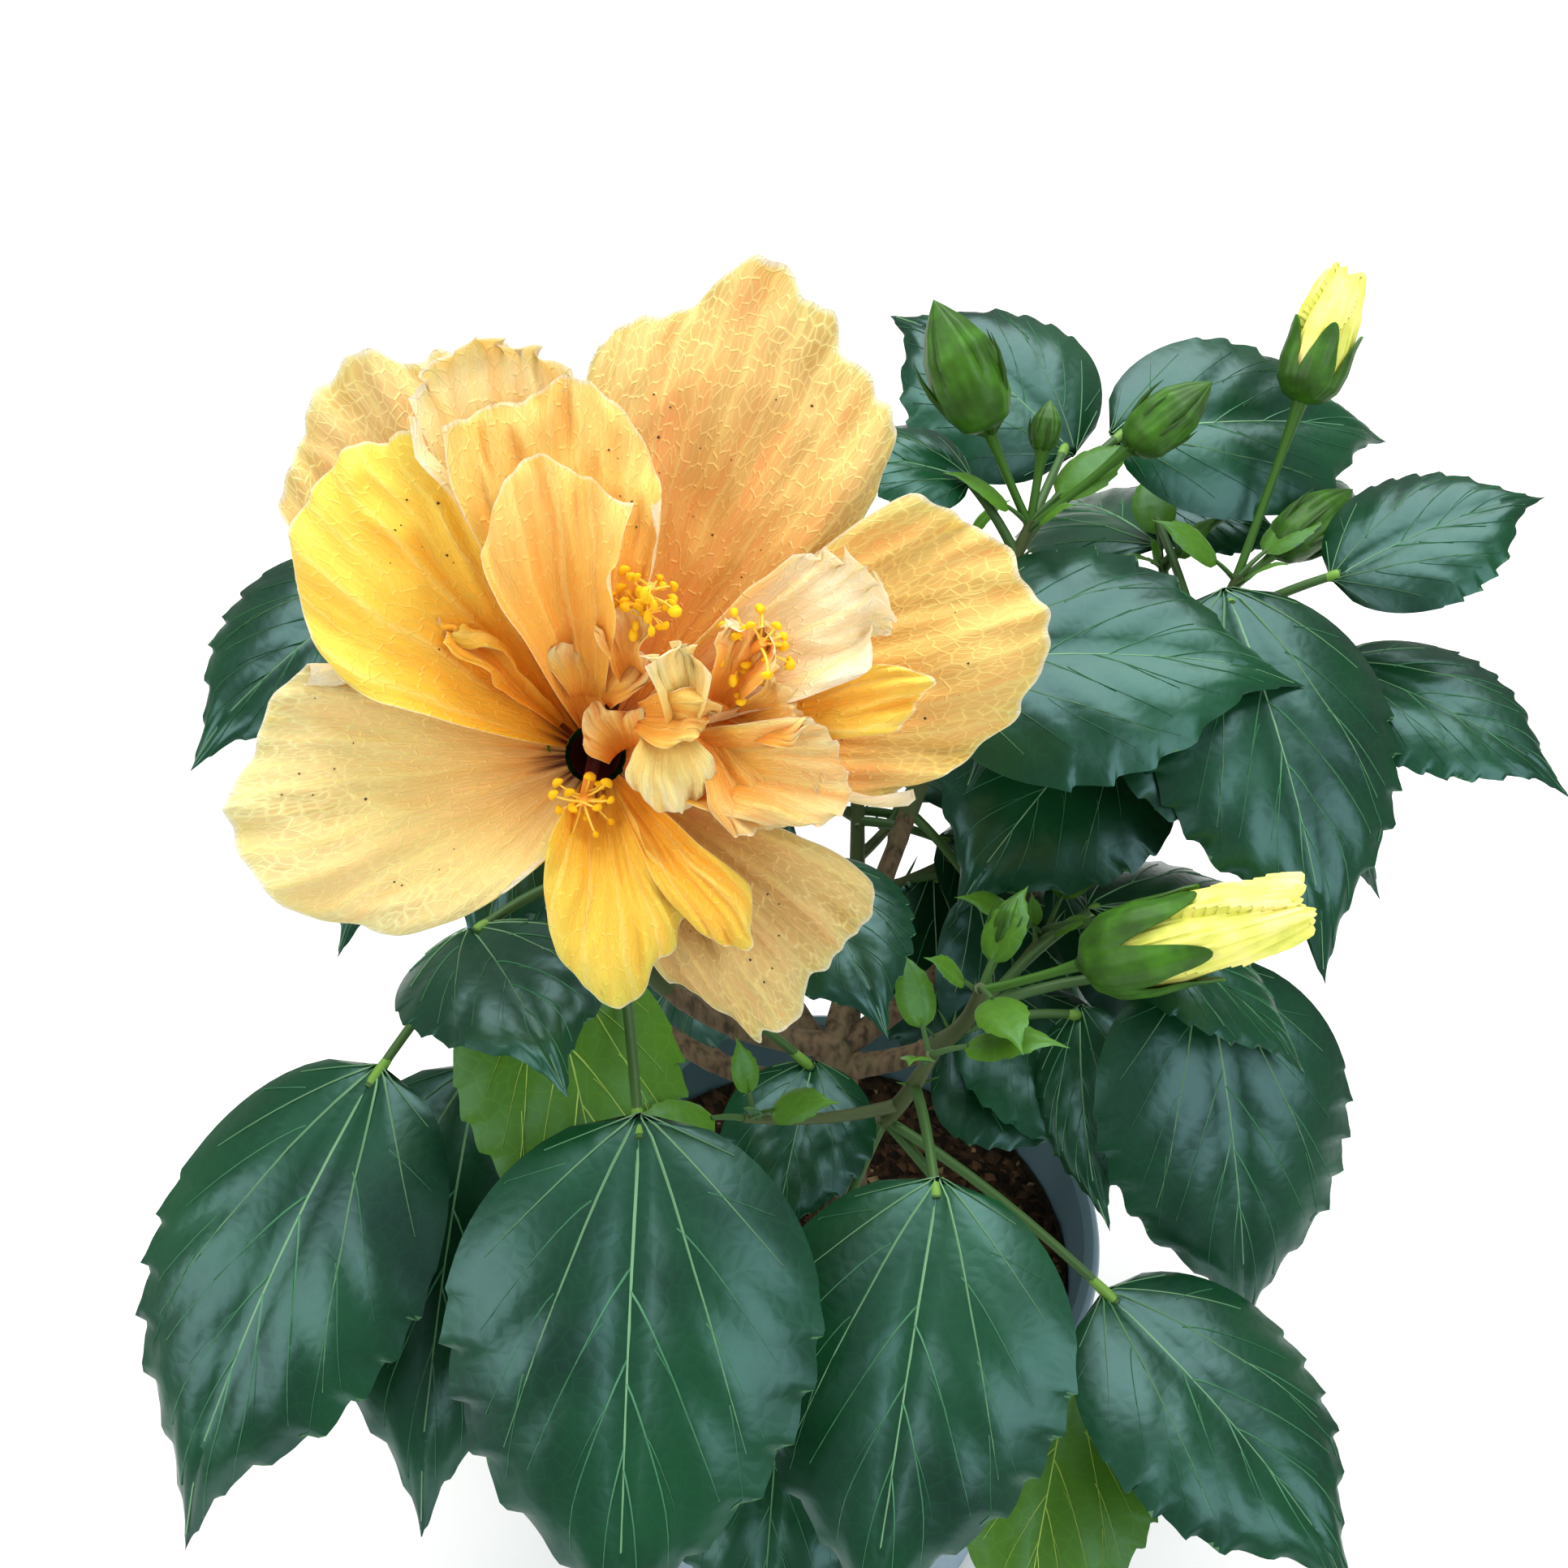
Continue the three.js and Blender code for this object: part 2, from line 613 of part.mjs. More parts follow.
// The bloom: petals on a narrow throat, tufts of stamens, the green cup and the stalk behind it.
function bloom(shootTip) {
  const { throatRadius, cupRadius, cupDepth, stalkRadius } = BLOOM;
  const ring = (radius, out) =>
    Array.from({ length: 10 }, (_, i) => {
      const a = (2 * Math.PI * i) / 10;
      return bloomPoint(radius * Math.cos(a), radius * Math.sin(a), out);
    });
  const throat = loft([
    [bloomPoint(0, 0, 7)],
    ring(throatRadius, 5),
    ring(throatRadius, -3),
    ring(cupRadius, -0.35 * cupDepth),
    ring(cupRadius * 0.9, -0.7 * cupDepth),
    ring(cupRadius * 0.35, -cupDepth),
  ]);
  const stalk = new THREE.QuadraticBezierCurve3(
    shootTip.clone(),
    bloomPoint(0, 0, -1.5 * cupDepth),
    bloomPoint(0, 0, -0.8 * cupDepth),
  );
  const stalkStart = (GAP + 0.2) / stalk.getLength();
  const tufts = Object.values(STAMENS).map(([aim, tilt, length, radius]) => {
    const a = THREE.MathUtils.degToRad(aim);
    const t = THREE.MathUtils.degToRad(tilt);
    const reach = length * Math.cos(t);
    const tip = bloomPoint(reach * Math.cos(a), reach * Math.sin(a), 4 + length * Math.sin(t));
    const size = { radius: 0.5 * radius, tipRadius: radius, sides: 5, steps: 2 };
    return limb(new THREE.LineCurve3(bloomPoint(0, 0, 0), tip), size);
  });
  const petals = [...Object.values(OUTER_PETALS), ...Object.values(INNER_PETALS)].map(petalSolid);
  const pedicel = limb(stalk, { radius: stalkRadius, tipRadius: stalkRadius, sides: 6, steps: 4 }, stalkStart);
  return whole(wasm.Manifold.union([throat, pedicel, ...tufts, ...petals]));
}

const LOOKS = {
  pot: { color: 0x6f7f8f, roughness: 0.5 },
  soil: { color: 0x2b1d14, roughness: 1 },
  bark: { color: 0x8a6f55, roughness: 0.85 },
  leaf: { color: 0x1f4a1c, roughness: 0.35 },
  petal: { color: 0xf2a23c, roughness: 0.6 },
};

function meshOf(name, solid, look) {
  const { vertProperties, triVerts } = solid.getMesh();
  const geometry = new THREE.BufferGeometry();
  geometry.setAttribute("position", new THREE.BufferAttribute(new Float32Array(vertProperties), 3));
  geometry.setIndex(new THREE.BufferAttribute(new Uint32Array(triVerts), 1));
  geometry.computeVertexNormals();
  const mesh = new THREE.Mesh(geometry, new THREE.MeshStandardMaterial({ ...LOOKS[look], metalness: 0 }));
  mesh.name = name;
  return mesh;
}

const shrub = new THREE.Group();
shrub.add(meshOf("pot", stand(pot()), "pot"));
shrub.add(meshOf("soil", stand(soil()), "soil"));
const trunkBody = stand(trunk());
shrub.add(meshOf("trunk", trunkBody, "bark"));

// Each bough is cut clear of the trunk and of the boughs before it.
let forked = trunk(GAP);
const stems = {};
for (const [name, branch] of Object.entries(BRANCHES)) {
  const line = branchLine(branch);
  const bough = whole(limb(line, BOUGH, 0, branch.split).subtract(forked));
  forked = forked.add(limb(line, BOUGH, 0, branch.split, GAP));
  shrub.add(meshOf(`bough_${name}`, stand(bough), "bark"));
  stems[name] = stand(limb(line, STEM, stemStart(branch), 1));
}

const bloomBody = stand(bloom(branchLine(BRANCHES.bloom).getPoint(1)));
shrub.add(meshOf("bloom", bloomBody, "petal"));

const masses = {};
for (const [name, branch] of Object.entries(BRANCHES)) masses[name] = foliage(branch, stems[name]);
for (const [name, branch] of Object.entries(BRANCHES)) {
  const { line, space, pieces } = masses[name];
  const random = seeded(branch.seed);
  for (let k = 0; k < branch.twigs.count; k++)
    pieces.push(...sideTwig(branch, line, stems[name], k, random, space));
  shrub.add(meshOf(`foliage_${name}`, whole(wasm.Manifold.union(pieces)), "leaf"));
}

export default shrub;
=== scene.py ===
"""Dresses the solids of a young double-flowered hibiscus in its pot. Shapes are worked out in millimetres, in
the part's own frame, and become metres when a mesh is made. The branches, leaves and petals follow the same
rules as the part's source, written again here."""

import bmesh
import bpy
import numpy as np
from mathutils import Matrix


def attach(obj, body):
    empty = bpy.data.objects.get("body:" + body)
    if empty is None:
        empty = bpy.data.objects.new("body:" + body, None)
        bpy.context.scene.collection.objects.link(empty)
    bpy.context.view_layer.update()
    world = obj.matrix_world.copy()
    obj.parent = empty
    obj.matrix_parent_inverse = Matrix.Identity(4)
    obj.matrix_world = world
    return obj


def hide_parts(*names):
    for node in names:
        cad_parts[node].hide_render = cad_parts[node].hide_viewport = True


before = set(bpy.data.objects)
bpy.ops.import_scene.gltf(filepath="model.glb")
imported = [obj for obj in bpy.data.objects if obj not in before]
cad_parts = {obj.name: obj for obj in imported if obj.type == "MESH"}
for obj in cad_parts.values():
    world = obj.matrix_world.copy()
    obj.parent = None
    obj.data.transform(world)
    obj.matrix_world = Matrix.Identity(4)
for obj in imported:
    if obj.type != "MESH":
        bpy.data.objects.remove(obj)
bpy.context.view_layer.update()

bl_info = {
    "name": "Potted hibiscus shrub",
    "version": (1, 0, 0),
    "blender": (4, 5, 0),
    "location": "3D View > Sidebar > Shrub",
    "description": "Dresses the solids of a young double-flowered hibiscus in its pot",
    "category": "Object",
}

METRE = 0.001

# Sizes that the part's source gives, in millimetres
GAP = 0.3
POT_FLOOR = 3.0
POT_WALL = 2.2
TRUNK = {"foot": (6, -1), "lean": (2, 10), "fork": 169, "foot_radius": 5.6, "fork_radius": 4.3, "flare": 4.2}
SOIL_TOP = 104
BOUGH_RADII = (3.1, 2.1)
STEM_RADII = (2.1, 1.3)
TWIG_RADII = (1.4, 0.9)
TWIG = {"roots": (0.12, 0.7), "length": (24, 38), "lift": (0, 35), "sag": 0.12}
STALK_RADII = (1.2, 0.95)
STALK_BOW = 0.12
LEAF_ARCH, LEAF_FOLD, LEAF_CURL = 0.07, 0.3, 0.42
SEEDED_LEAF = {"stalk": (18, 38), "lift": (5, 45), "droop": (15, 48), "length": (56, 80), "slimness": 0.62}
PETAL_START = 5
VEIN_RADIUS = 45
BLOOM_EYE, BLOOM_HEADING, BLOOM_LIFT = (-42, -18, 277), 5, 41
NUDGES = (0, 1, -1, 2, -2, 3, -3, 4, -4, 5, -5)
NUDGE = {"heading": 5, "aim": 4, "droop": 4, "twig": 14}
SEEDED_TRIES = 5
GOLDEN_ANGLE = 137.5
FOUND = 0.06

# The branches, with the source's own numbers.
# leaves: at, heading, stalk, lift, aim, droop, length, width, roll
# buds: at, heading, stalk, lift, length, width
# twigs: count, facing, spread, leaves on each
BRANCHES = {
    "bloom": {
        "from": 0.98, "control": (-44, -6, 190), "end": (-48, 6, 236), "split": 0.5, "seed": 11,
        "twigs": (1, 215, 0, 3),
        "leaves": [
            (0.45, 8, 60, 13, 358, 39, 95, 66, 0),
            (0.8, 314, 31, 11, 26, -10, 52, 40, 0),
            (0.3, 93, 41, 37, 27, 15, 42, 34, 0),
            (0.3, 84, 46, -34, 352, 18, 44, 32, 0),
        ],
        "buds": [],
    },
    "left": {
        "from": 0.82, "control": (-52, 4, 160), "end": (-74, 32, 246), "split": 0.5, "seed": 23,
        "twigs": (1, 225, 0, 4),
        "leaves": [
            (0.5, 328, 53, -7, 333, 35, 99, 60, 0),
            (0.2, 322, 34, -5, 353, 35, 94, 62, 0),
            (0.1, 345, 24, -4, 300, 12, 50, 36, 0),
            (0.8, 216, 48, 55, 316, 16, 59, 44, -10),
        ],
        "buds": [],
    },
    "front": {
        "from": 0.72, "control": (10, -22, 168), "end": (20, -26, 206), "split": 0.5, "seed": 37,
        "twigs": (1, 300, 0, 2),
        "leaves": [
            (0.7, 8, 26, 8, 348, 34, 86, 60, 0),
            (0.1, 53, 56, -14, 41, 19, 74, 50, 0),
            (0.1, 49, 66, -38, 345, 25, 58, 44, 0),
            (0.1, 330, 55, -40, 355, 29, 61, 43, 0),
        ],
        "buds": [],
    },
    "right": {
        "from": 0.9, "control": (30, -2, 176), "end": (30, -14, 212), "split": 0.5, "seed": 41,
        "twigs": (1, 140, 0, 3),
        "leaves": [
            (0.7, 94, 50, 3, 2, 41, 81, 55, 0),
            (0.3, 105, 28, 1, 5, 35, 47, 24, 40),
            (0.3, 150, 30, -25, 20, 10, 50, 36, 0),
            (0.1, 182, 24, -46, 63, 27, 39, 36, 10),
        ],
        "buds": [(0.98, 90, 20, 22, 46, 18), (0.9, 150, 10, 40, 13, 7)],
    },
    "far_right": {
        "from": 0.96, "control": (56, 44, 176), "end": (90, 72, 250), "split": 0.5, "seed": 53,
        "twigs": (2, 165, 50, 3),
        "leaves": [
            (0.9, 347, 13, 62, 14, 33, 86, 56, 0),
            (0.7, 84, 32, 12, 58, 11, 57, 34, 12),
            (0.85, 98, 28, 34, 118, -4, 50, 36, 12),
            (0.8, 188, 54, 4, 64, 6, 40, 27, 10),
        ],
        "buds": [(0.98, 125, 12, 20, 24, 13), (0.97, 150, 42, 50, 30, 14)],
    },
    "back": {
        "from": 0.99, "control": (14, 46, 196), "end": (44, 73, 264), "split": 0.5, "seed": 67,
        "twigs": (2, 175, 50, 3),
        "leaves": [
            (0.5, 323, 24, 40, 86, -1, 80, 58, 18),
            (0.3, 89, 40, 8, 310, 24, 59, 54, -10),
            (0.9, 142, 38, 20, 106, 10, 74, 46, 28),
            (0.85, 155, 42, 7, 229, -18, 57, 50, -14),
            (0.9, 233, 19, 49, 264, -7, 31, 24, -14),
        ],
        "buds": [(0.99, 228, 22, 56, 30, 17), (0.99, 108, 26, 36, 22, 13), (0.99, 165, 16, 55, 11, 7)],
    },
    "back_left": {
        "from": 0.88, "control": (-22, 40, 172), "end": (-34, 70, 230), "split": 0.5, "seed": 79,
        "twigs": (4, 215, 150, 4), "leaves": [], "buds": [],
    },
    "rear": {
        "from": 0.78, "control": (10, 50, 158), "end": (8, 84, 202), "split": 0.5, "seed": 83,
        "twigs": (4, 175, 160, 4), "leaves": [], "buds": [],
    },
}
# Opening buds, by branch and place in its list
OPENING_BUDS = {("right", 0), ("far_right", 1)}
# Shaded leaves deep in the crown, which the solids leave out, in the same order of numbers as the others
INNER_LEAVES = {
    "rear": [
        (0.1, 100, 20, 25, 30, 58, 68, 48, 0), (0.5, 70, 20, 5, 60, 40, 66, 46, -20),
        (0.0, 250, 26, 0, 300, 50, 64, 44, 0),
    ],
    "back": [(0.0, 60, 22, -40, 45, 60, 64, 44, 0)],
}
# Yellow-green leaves, by branch and place among the leaves found on it
YOUNG_LEAVES = {("left", 2), ("bloom", 5), ("front", 2)}

# The source's petals: aim, spread, reach, left, right, height of the root, rise, droop, cup, ruffle,
# ripples, phase
OUTER_PETALS = {
    "upper_right": (62, 28, 86, 0.78, 0.72, -5, 24, 10, 0.1, 2.2, 7, 0.4),
    "right": (12, 28, 80, 0.84, 0.52, -3, 24, 8, 0.1, 2.4, 6, 1.9),
    "bottom": (-52, 28, 56, 0.92, 0.7, -4, 21, 9, 0.1, 2.0, 6, 3.1),
    "lower_left": (189, 42, 60, 0.5, 0.72, -3, 22, 4, 0.1, 2.4, 6, 0.9),
    "upper_left": (120, 25, 79, 0.8, 0.9, -7, 14, 8, 0.1, 2.2, 6, 2.6),
}
INNER_PETALS = {
    "broad_left": (130, 23, 63, 0.6, 0.9, 0, 30, 5, 0.3, 2.0, 5, 1.2),
    "rolled_top": (101, 14, 70, 0.92, 0.85, 1, 27, 0, 0.3, 1.8, 5, 0.2),
    "top": (90, 25, 59, 0.94, 0.62, 2, 33, 4, 0.25, 2.0, 5, 2.2),
    "cupped": (96, 21, 45, 0.78, 0.8, 5, 38, 2, 0.5, 1.4, 4, 0.6),
    "pale_right": (28, 16, 56, 0.78, 0.78, 2, 31, 3, 0.35, 1.8, 5, 1.4),
    "narrow_right": (8, 8, 56, 0.85, 0.9, 2, 27, 6, 0.3, 1.0, 3, 0.1),
    "lower_right": (-10, 20, 42, 0.85, 0.62, 3, 30, 5, 0.35, 1.6, 4, 2.8),
    "narrow_bottom": (-54, 12, 40, 0.8, 0.75, 3.6, 26, 8, 0.3, 1.0, 3, 1.7),
    "drooping": (-87, 26, 41, 0.68, 0.6, 3, 24, 12, 0.35, 1.6, 4, 0.5),
}
# Small crumpled petals round the eye, which the solids leave out: right and up of the eye, then as the others
CRUMPLED_PETALS = {
    "upright_curl": (14.7, -2.4, (88, 21, 20, 0.8, 0.66, 24, 11, 1, 0.8, 1.6, 4, 0.9)),
    "upright_fold": (8, 6, (98, 18, 17, 0.7, 0.8, 19, 12, 0, 0.9, 1.6, 4, 3.3)),
    "centre_curl": (11.3, 9.3, (-84, 31, 19, 0.8, 0.85, 22, 10, 7, 0.6, 1.6, 4, 2.0)),
    "centre_fold": (3, 7, (-12, 26, 17, 0.8, 0.7, 22, 10, 3, 0.9, 2.0, 5, 4.4)),
    "right_curl": (19, 3, (62, 24, 19, 0.8, 0.7, 25, 12, 2, 0.9, 2.4, 6, 1.1)),
    "right_fold": (20, 2, (16, 28, 16, 0.8, 0.8, 24, 9, 3, 0.8, 2.2, 6, 5.0)),
    "salmon_frill": (14, 10, (-46, 31, 29, 0.86, 0.8, 19, 10, 5, 0.45, 2.0, 6, 0.3)),
    "small_curl": (-1, 5, (72, 42, 14, 0.8, 0.8, 15, 9, 2, 0.9, 1.6, 5, 2.9)),
    "eye_curl": (7, -4, (116, 36, 12, 0.8, 0.8, 13, 8, 2, 0.8, 1.4, 4, 1.0)),
    "eye_fold": (-2, 2, (134, 9, 30, 0.7, 0.9, 3, 20, 2, 0.9, 1.0, 3, 0.3)),
}
# Of the outer, inner and crumpled petals: rows and columns of the grid, frill of the rim, and crumple
OUTER_FINISH, INNER_FINISH, CRUMPLED_FINISH = (60, 100, 1.0, 0.8), (50, 72, 1.1, 1.0), (44, 56, 1.8, 2.2)
# Petals that frill or crumple less than the others of their kind
FRILL = {"rolled_top": 0.3}
CRUMPLE = {"centre_curl": 1.2, "salmon_frill": 1.2, "upright_curl": 1.2}
# Margins that roll: which one, its share of the petal's half breadth, the radius, and how far along it starts
SIDE_ROLLS = {
    "lower_left": (-1, 0.2, 1.9, 0.5), "right": (-1, 0.13, 1.7, 0.5), "cupped": (-1, 0.26, 4.0, 0.45),
    "top": (-1, 0.16, 5.0, 0.4), "broad_left": (-1, 0.3, 5.0, 0.1), "upper_left": (1, 0.13, 3.0, 0.4),
    "drooping": (1, 0.2, 4.0, 0.3), "eye_fold": (-1, 0.5, 2.0, 0.2),
}
# Petals that are fuller on one side than their solids, for overlap: the side, its spread, and its reach at
# the edge
FULLER = {"lower_left": (1, 1.38, 0.25), "drooping": (-1, 1.3, 0.42), "broad_left": (1, 1.5, 0.62)}
# Far rims that roll: the share of the length, and the radius, forwards or, below 0, back
RIM_ROLLS = {
    "rolled_top": (0.09, 4.0), "pale_right": (0.14, 4.0), "upright_curl": (0.25, 3.0),
    "right_curl": (0.2, 2.5), "lower_right": (0.1, -6.0), "broad_left": (0.08, -6.0),
}
# Peaks and notches of a rim: place across, height as a share of the reach, breadth
RIM_PEAKS = {
    "upper_right": ((0.26, 0.045, 0.16), (0.0, -0.035, 0.06), (-0.16, 0.025, 0.07), (-0.32, -0.03, 0.06)),
    "bottom": ((-0.47, 0.08, 0.07), (0.1, -0.03, 0.1)),
    "right": ((0.45, 0.03, 0.1), (-0.3, -0.03, 0.08)),
    "lower_left": ((0.45, -0.04, 0.05), (-0.2, 0.02, 0.1)),
    "upper_left": ((0.2, 0.03, 0.12), (-0.4, -0.03, 0.1)),
    "narrow_bottom": ((0.0, 0.06, 0.3),),
    "drooping": ((0.5, -0.07, 0.12), (-0.1, 0.03, 0.2)),
}
# The tufts of stamens: aim, tilt and length, as in the source, then how many anthers each carries
STAMENS = {"upper": (67, 49, 46, 36), "side": (30, 46, 50, 36), "lower": (255, 62, 18, 16)}

# Each petal's colours at its eye, root, middle and margin, and in the streaks along it. The maroon eye
# colours of the pale and bright tints are petal bases darkened further as painted shade of the folds round
# the eye.
PETAL_TINTS = {
    "apricot": ("#7A2016", "#FFA640", "#EEB455", "#EBC674", "#F29C4E"),
    "tan": ("#7A2016", "#FAA440", "#DEAA5A", "#D9BC7C", "#EC9A54"),
    "gold": ("#D0661E", "#FFAC3C", "#FFBE50", "#FFD27A", "#FC9C3C"),
    "folded": ("#D0661E", "#FFAC3C", "#FFC658", "#FFE6AE", "#FFB252"),
    "bright": ("#6A1A10", "#FFB830", "#FFC83C", "#FBDC56", "#FFAE2C"),
    "pale": ("#5A1416", "#FCC068", "#F2DC94", "#ECE2AE", "#F0C47C"),
    "old": ("#6A1C18", "#EDB460", "#DDB46C", "#DEC88E", "#E6A866"),
    "light_fold": ("#F6A83C", "#FFCE66", "#FFE08C", "#FFF0BE", "#FFCC70"),
    "cream": ("#FBA850", "#FFB868", "#FFDCA4", "#FFF2D6", "#FFC286"),
    "orange": ("#F08A22", "#FFA41E", "#FFB62A", "#FFCE4A", "#FF9E20"),
    "salmon": ("#F07A20", "#FFA234", "#FFB64C", "#FFDA9C", "#FF9A34"),
    "back": ("#EBA040", "#FFC468", "#FFD894", "#FFEFC8", "#FCC880"),
}
# Tints of thin petals, where the light shows more of the net and of the windows between its veins
THIN_TISSUE = ("apricot", "tan", "pale", "old")
# The back of a petal is paler, except on the orange ones.
BACK_TINT, DEEP_TISSUE = "back", ("orange",)
PETAL_TINT = {
    "upper_right": "tan", "right": "apricot", "bottom": "old", "lower_left": "pale", "upper_left": "old",
    "broad_left": "bright", "rolled_top": "folded", "top": "gold", "cupped": "gold", "pale_right": "cream",
    "narrow_right": "orange", "lower_right": "salmon", "narrow_bottom": "orange", "drooping": "bright",
    "upright_curl": "light_fold", "upright_fold": "salmon", "centre_curl": "light_fold",
    "centre_fold": "gold", "right_curl": "salmon", "right_fold": "salmon", "salmon_frill": "salmon",
    "small_curl": "salmon", "eye_fold": "orange", "eye_curl": "salmon",
}

CRUMB_COUNT = 2600
SPECKLED_PETALS, SPECKS_ON_EACH = 8, 12
# Points round a limb and steps along it, and the leaf scars on each
TRUNK_GRID, BOUGH_GRID = (56, 130), (30, 90)
LEAF_SCARS = 3
# Rows and columns of a leaf, and its roughness and IOR, matched to the strong shine of its wax
LEAF_GRID, SMALL_LEAF_GRID = (64, 21), (24, 9)
LEAF_SHINE, YOUNG_LEAF_SHINE = (0.32, 1.68), (0.42, 1.45)
# A grain is eight-faced: a ring of four corners between two poles.
GRAIN_CORNERS = np.array([(1, 0, 0), (0, 1, 0), (-1, 0, 0), (0, -1, 0), (0, 0, 1), (0, 0, -1)], float)
GRAIN_FACES = np.array(
    [(0, 1, 4), (1, 2, 4), (2, 3, 4), (3, 0, 4), (1, 0, 5), (2, 1, 5), (3, 2, 5), (0, 3, 5)]
)

# The camera's lens and sensor in millimetres, its place in metres, and its tilt up from straight down
CAMERA = {"lens": 46.58, "sensor": 36, "place": (-0.009, -0.286, 0.5115), "tilt": 48}
FLOOR_REACH = 4
LIGHT_AIM = (0, 0, 0.22)
# Softboxes: place and size in metres, share of the overhead one's power, and colour
SOFTBOXES = {
    "overhead_softbox": ((0.1, 0.55, 1.5), 1.4, 1.0, (1, 1, 1)),
    "left_softbox": ((-1.2, -0.6, 1.1), 1.0, 0.38, (1, 1, 1)),
    "right_softbox": ((0.8, -0.9, 1.2), 1.0, 0.36, (0.9, 0.96, 1.0)),
}


def linear(colour):
    """An sRGB hex colour as linear red, green, blue and alpha."""
    parts = [int(colour[i : i + 2], 16) / 255 for i in (1, 3, 5)]
    return (*[c / 12.92 if c <= 0.04045 else ((c + 0.055) / 1.055) ** 2.4 for c in parts], 1.0)


def shade(colour, factor):
    """A linear colour times a factor, no channel over 1."""
    return tuple(min(1.0, factor * c) for c in colour[:3]) + (1.0,)


def colour_property(name, description, colour):
    """A colour setting with its sRGB hex default."""
    return bpy.props.FloatVectorProperty(
        name=name, description=description, subtype="COLOR", size=4, min=0, max=1, default=linear(colour)
    )


def length_property(name, description, millimetres):
    """A length setting in metres, from millimetres."""
    return bpy.props.FloatProperty(
        name=name, description=description, default=millimetres * METRE, precision=4, subtype="DISTANCE",
        unit="LENGTH",
    )


class ShrubPotSettings(bpy.types.PropertyGroup):
    """Sizes and colours of the pot and its soil."""

    height: length_property("Height", "From the flat underside to the rim", 116)
    rim_radius: length_property("Rim radius", "Outer radius at the rim", 65)
    rim_width: length_property("Rim width", "Breadth of the rolled rim", 4)
    collar: length_property("Collar", "Depth of the thicker band under the rim", 18)
    foot_radius: length_property("Foot radius", "Outer radius at the underside", 46)
    plastic: colour_property("Plastic", "Slate blue-grey moulded polypropylene", "#7896A8")
    soil: colour_property("Soil", "Damp peat", "#22160F")
    grit: colour_property("Bark chips", "Lighter chips in the peat", "#6B4A33")
    fibre: colour_property("Fibre", "Pale fibre in the peat", "#A78A63")


class ShrubWoodSettings(bpy.types.PropertyGroup):
    """Colours of the trunk, boughs, shoots and leaf stalks."""

    relief: length_property("Bark relief", "Height of the bark's ridges", 0.22)
    bark: colour_property("Bark", "Grey-brown bark of the trunk and boughs", "#65543F")
    crack: colour_property("Bark cracks", "Darker wood between the bark's ridges", "#3A2D1F")
    shoot: colour_property("Shoots", "Green-brown skin of the young stems", "#47542E")
    stalk: colour_property("Leaf stalks", "Green leaf stalks", "#3C5F2C")
    joint: colour_property("Leaf joints", "Yellow-green joint where a stalk meets its blade", "#6E9A3C")


class ShrubLeafSettings(bpy.types.PropertyGroup):
    """Sizes and colours of the leaves."""

    tooth: bpy.props.FloatProperty(
        name="Teeth", description="Depth of the teeth as a share of the blade's length", default=0.027, min=0
    )
    blade: colour_property("Blade", "Dark waxy green of a full-grown leaf", "#052711")
    blade_light: colour_property("Blade highlights", "Lighter green in the same leaf", "#0C411E")
    young: colour_property("Young blade", "Yellow-green of a young leaf", "#4E7C1E")
    underside: colour_property("Underside", "Paler matt green under the blade", "#3F6B45")
    vein: colour_property("Main veins", "Pale green main veins", "#6E9C72")
    fine_vein: colour_property("Side veins", "Green side veins", "#4A8560")
    young_vein: colour_property("Young veins", "Yellow-green veins, and all veins underneath", "#A9C960")


class ShrubBloomSettings(bpy.types.PropertyGroup):
    """Sizes and colours of the bloom and the buds."""

    thickness: length_property("Petal thickness", "Thickness of a petal away from its edge", 0.5)
    vein: colour_property("Petal veins", "Pale yellow net of veins", "#FCE28C")
    window: colour_property("Petal windows", "Thin, slightly green tissue between the veins", "#BF9B52")
    rim: colour_property("Petal rims", "Thin cream line along a petal's edge", "#FBEFC4")
    eye: colour_property("Eye", "Dark maroon centre of the bloom", "#3A0A08")
    anther: colour_property("Anthers", "Bright yellow pollen", "#F6BE08")
    filament: colour_property("Filaments", "Yellow threads that carry the anthers", "#F9CE4A")
    column: colour_property("Stamen columns", "Orange column of each tuft of stamens", "#F9A63C")
    speck: colour_property("Specks", "Dark dust on the petals", "#4A3A22")
    calyx: colour_property("Green cup", "Green cup and bracts behind the petals", "#315E0D")
    bud_petal: colour_property("Bud petals", "Furled yellow petals of an opening bud", "#F2EF78")
    bud_green: colour_property("Green of bud petals", "Greener parts of the furled petals", "#CBD652")
    bud_light: colour_property("Light of bud petals", "Palest parts of the furled petals", "#FFF3A0")


class ShrubStageSettings(bpy.types.PropertyGroup):
    """The floor and the light."""

    floor: colour_property("Floor", "Plain pale floor", "#F3F2EF")
    softbox: bpy.props.FloatProperty(
        name="Softbox", description="Power of the overhead light in watts", default=32
    )
    fill: bpy.props.FloatProperty(
        name="Fill", description="Strength of the even light all round", default=0.32
    )


def unit(v):
    """Vectors along the last axis, each at length one. A vector of no length stays as it is."""
    v = np.asarray(v, float)
    return v / np.maximum(np.linalg.norm(v, axis=-1, keepdims=True), 1e-9)


def mix(a, b, t):
    """a + (b - a) t."""
    return a + (b - a) * t


def smooth_step(low, high, x):
    """0 below low, 1 above high, and 3 s^2 - 2 s^3 between them."""
    s = np.clip((x - low) / (high - low), 0, 1)
    return s * s * (3 - 2 * s)


def direction(heading, lift):
    """A unit vector: heading turns round the plant from -Y through +X, lift rises above the level, in
    degrees."""
    h, e = np.radians(heading), np.radians(lift)
    return np.array([np.sin(h) * np.cos(e), -np.cos(h) * np.cos(e), np.sin(e)])


